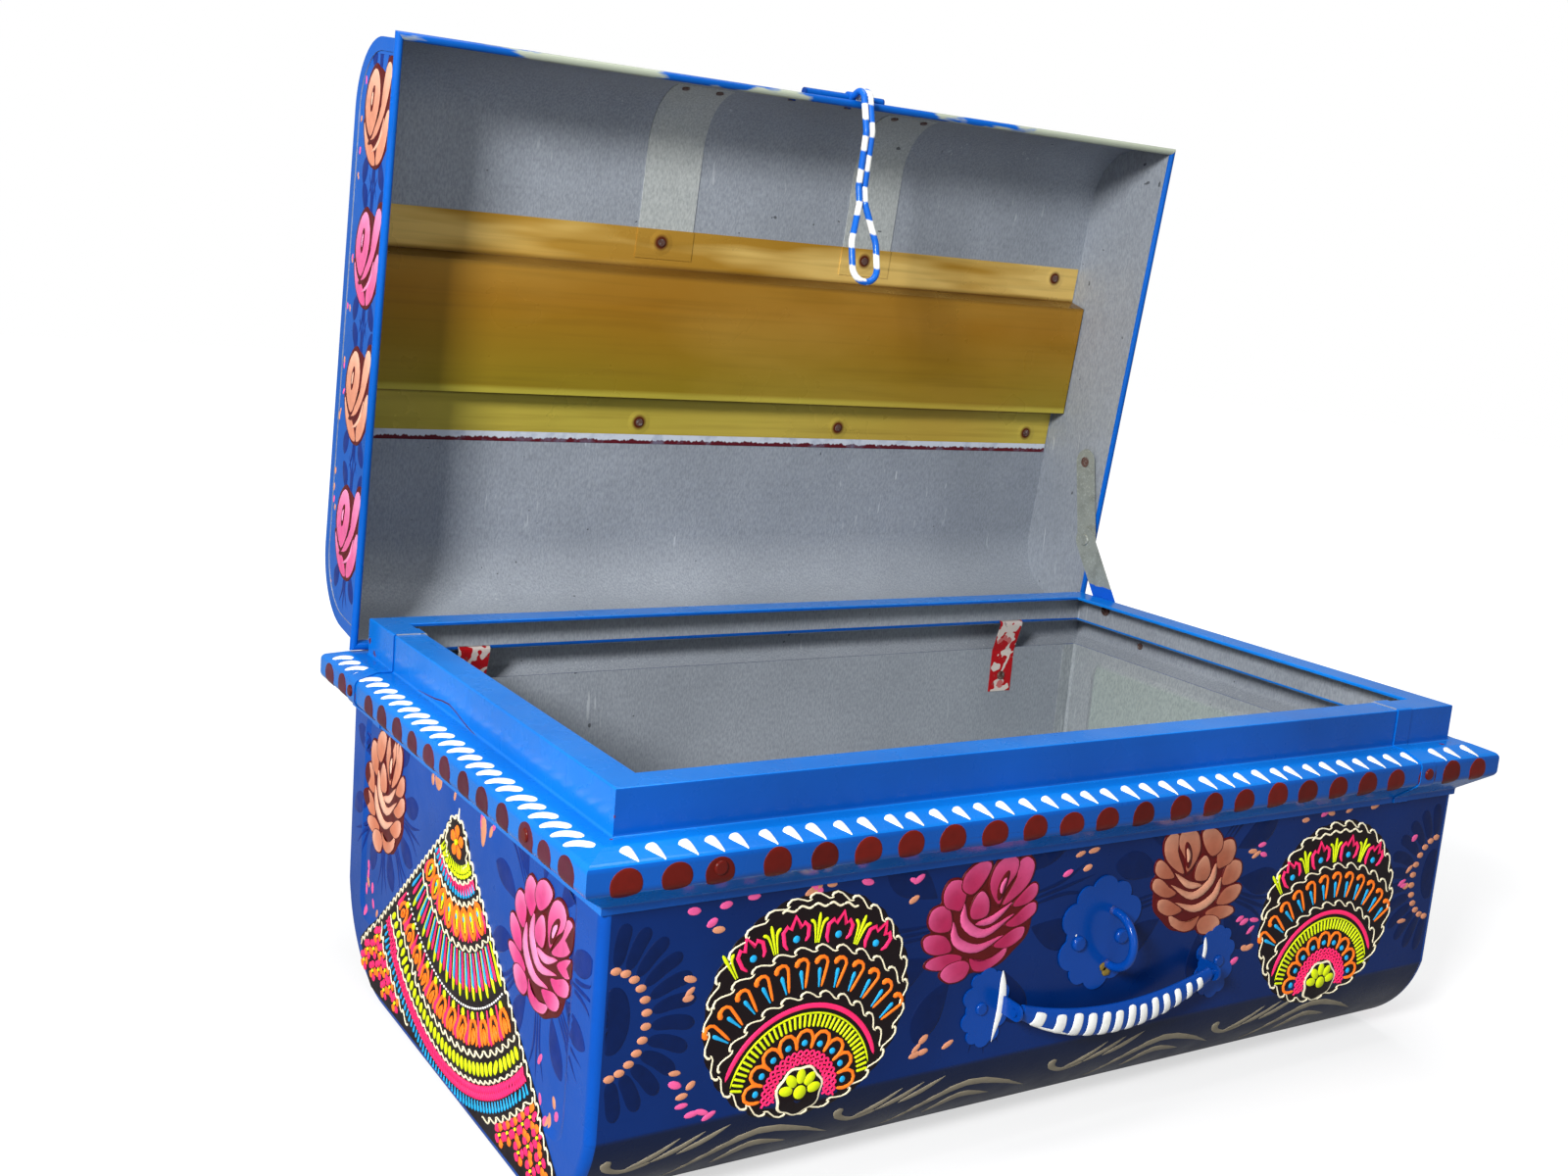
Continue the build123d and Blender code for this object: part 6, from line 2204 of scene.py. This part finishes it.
@dataclass
class Studio:
    """Floor, lamps, world and camera."""

    position: tuple[float, float, float] = (-0.63106, -0.83482, 0.47202)
    right: tuple[float, float, float] = (0.85074, -0.51895, 0.08314)
    up: tuple[float, float, float] = (0.02715, 0.20136, 0.97914)
    forward: tuple[float, float, float] = (0.52487, 0.83074, -0.18540)
    lens: float = 38.245
    sensor: float = 36.0
    floor_half: float = 6.0
    glossy: float = 0.2

    def camera(self) -> None:
        """Puts the camera in place."""
        data = bpy.data.cameras.new("camera")
        data.lens, data.sensor_width, data.clip_start = self.lens, self.sensor, 0.01
        eye = bpy.data.objects.new("camera", data)
        bpy.context.scene.collection.objects.link(eye)
        turn = Matrix((self.right, self.up, [-v for v in self.forward])).transposed()
        eye.matrix_world = Matrix.Translation(self.position) @ turn.to_4x4()
        bpy.context.scene.camera = eye

    @staticmethod
    def lamp(
        name: str,
        place: Sequence[float],
        aim: Sequence[float],
        size: float,
        power: float,
        tint: Sequence[float] = (1.0, 1.0, 1.0),
    ) -> None:
        """Adds a square soft lamp.

        Args:
            name: its name.
            place: where it stands, in metres.
            aim: the point that it looks at.
            size: its side.
            power: its watts.
            tint: its colour.
        """
        data = bpy.data.lights.new(name, "AREA")
        data.shape, data.size, data.energy, data.color = "SQUARE", size, power, tint
        lamp = bpy.data.objects.new(name, data)
        bpy.context.scene.collection.objects.link(lamp)
        lamp.location = place
        lamp.rotation_euler = (Vector(aim) - Vector(place)).to_track_quat("-Z", "Y").to_euler()

    def light(self) -> None:
        """Adds the lamps and a pale world that is white to the camera."""
        aim = (0.0, 0.0, 0.25)
        self.lamp("key_softbox", (-1.85, -1.2, 1.25), aim, 0.45, 74.0)
        self.lamp("top_window", (0.1, 0.0, 2.3), aim, 1.4, 30.0)
        self.lamp("left_window", (-2.4, 0.6, 1.2), aim, 1.2, 8.0, (1.0, 0.99, 0.97))
        self.lamp("low_fill", (-0.5, -2.6, 0.5), (0.0, 0.2, 0.45), 1.4, 9.0)
        world = bpy.data.worlds.new("studio")
        bpy.context.scene.world = world
        world.use_nodes = True
        nodes, links = world.node_tree.nodes, world.node_tree.links
        ground = nodes["Background"]
        ground.inputs["Color"].default_value = (0.9, 0.94, 1.0, 1.0)
        ground.inputs["Strength"].default_value = 0.22
        white = nodes.new("ShaderNodeBackground")
        white.inputs["Color"].default_value = (1.0, 1.0, 1.0, 1.0)
        white.inputs["Strength"].default_value = 1.0
        path, mix = nodes.new("ShaderNodeLightPath"), nodes.new("ShaderNodeMixShader")
        shown = nodes.new("ShaderNodeMath")
        shown.operation, shown.use_clamp = "MULTIPLY_ADD", True
        shown.inputs[1].default_value = self.glossy
        links.new(path.outputs["Is Glossy Ray"], shown.inputs[0])
        links.new(path.outputs["Is Camera Ray"], shown.inputs[2])
        links.new(shown.outputs[0], mix.inputs[0])
        links.new(ground.outputs[0], mix.inputs[1])
        links.new(white.outputs[0], mix.inputs[2])
        links.new(mix.outputs[0], nodes["World Output"].inputs["Surface"])

    def floor(self) -> None:
        """Adds the plain white floor, which grows into the white world and is dark to bounced light."""
        half = self.floor_half
        points = np.array([(-half, -half, 0.0), (half, -half, 0.0), (half, half, 0.0), (-half, half, 0.0)])
        mesh = bpy.data.meshes.new("floor")
        mesh.from_pydata(points, [], np.array([(0, 1, 2, 3)]))
        floor = bpy.data.objects.new("floor", mesh)
        bpy.context.scene.collection.objects.link(floor)
        s = Shader("floor_paper", 0.0, 0.9)
        s.out.inputs["Specular IOR Level"].default_value = 0.0
        path = s.add("ShaderNodeLightPath")
        glossy = s.times(path.outputs["Is Glossy Ray"], self.glossy)
        seen = s.plus(path.outputs["Is Camera Ray"], glossy)
        far = s.add("ShaderNodeVectorMath", operation="LENGTH", i0=s.place).outputs["Value"]
        glow = s.ramp(far, 0.5, 1.6, 0.62, 1.0)
        tone = s.mix(path.outputs["Is Camera Ray"], (0.25, 0.25, 0.25, 1.0), (0.4, 0.4, 0.4, 1.0))
        s.link(tone, "Base Color")
        s.out.inputs["Emission Color"].default_value = (1.0, 1.0, 1.0, 1.0)
        s.link(s.times(seen, glow), "Emission Strength")
        mesh.materials.append(s.material)


def main() -> None:
    """Builds the trunk's looks piece by piece."""
    logging.basicConfig(level=logging.INFO, format="%(name)s: %(message)s")
    bpy.context.scene.view_settings.view_transform = "Standard"
    studio = Studio()
    studio.camera()
    studio.light()
    studio.floor()
    finishes = Finishes()
    body = Body(finishes)
    body.dress()
    body.front()
    body.ends()
    body.back()
    rim = Rim(finishes)
    rim.dress()
    rim.paint()
    fittings = Fittings(finishes)
    fittings.dress()
    fittings.paint()
    lid = Lid(finishes)
    lid.dress()
    lid.paint_ends()
    lid.paint_shell()


if __name__ == "__main__":
    main()
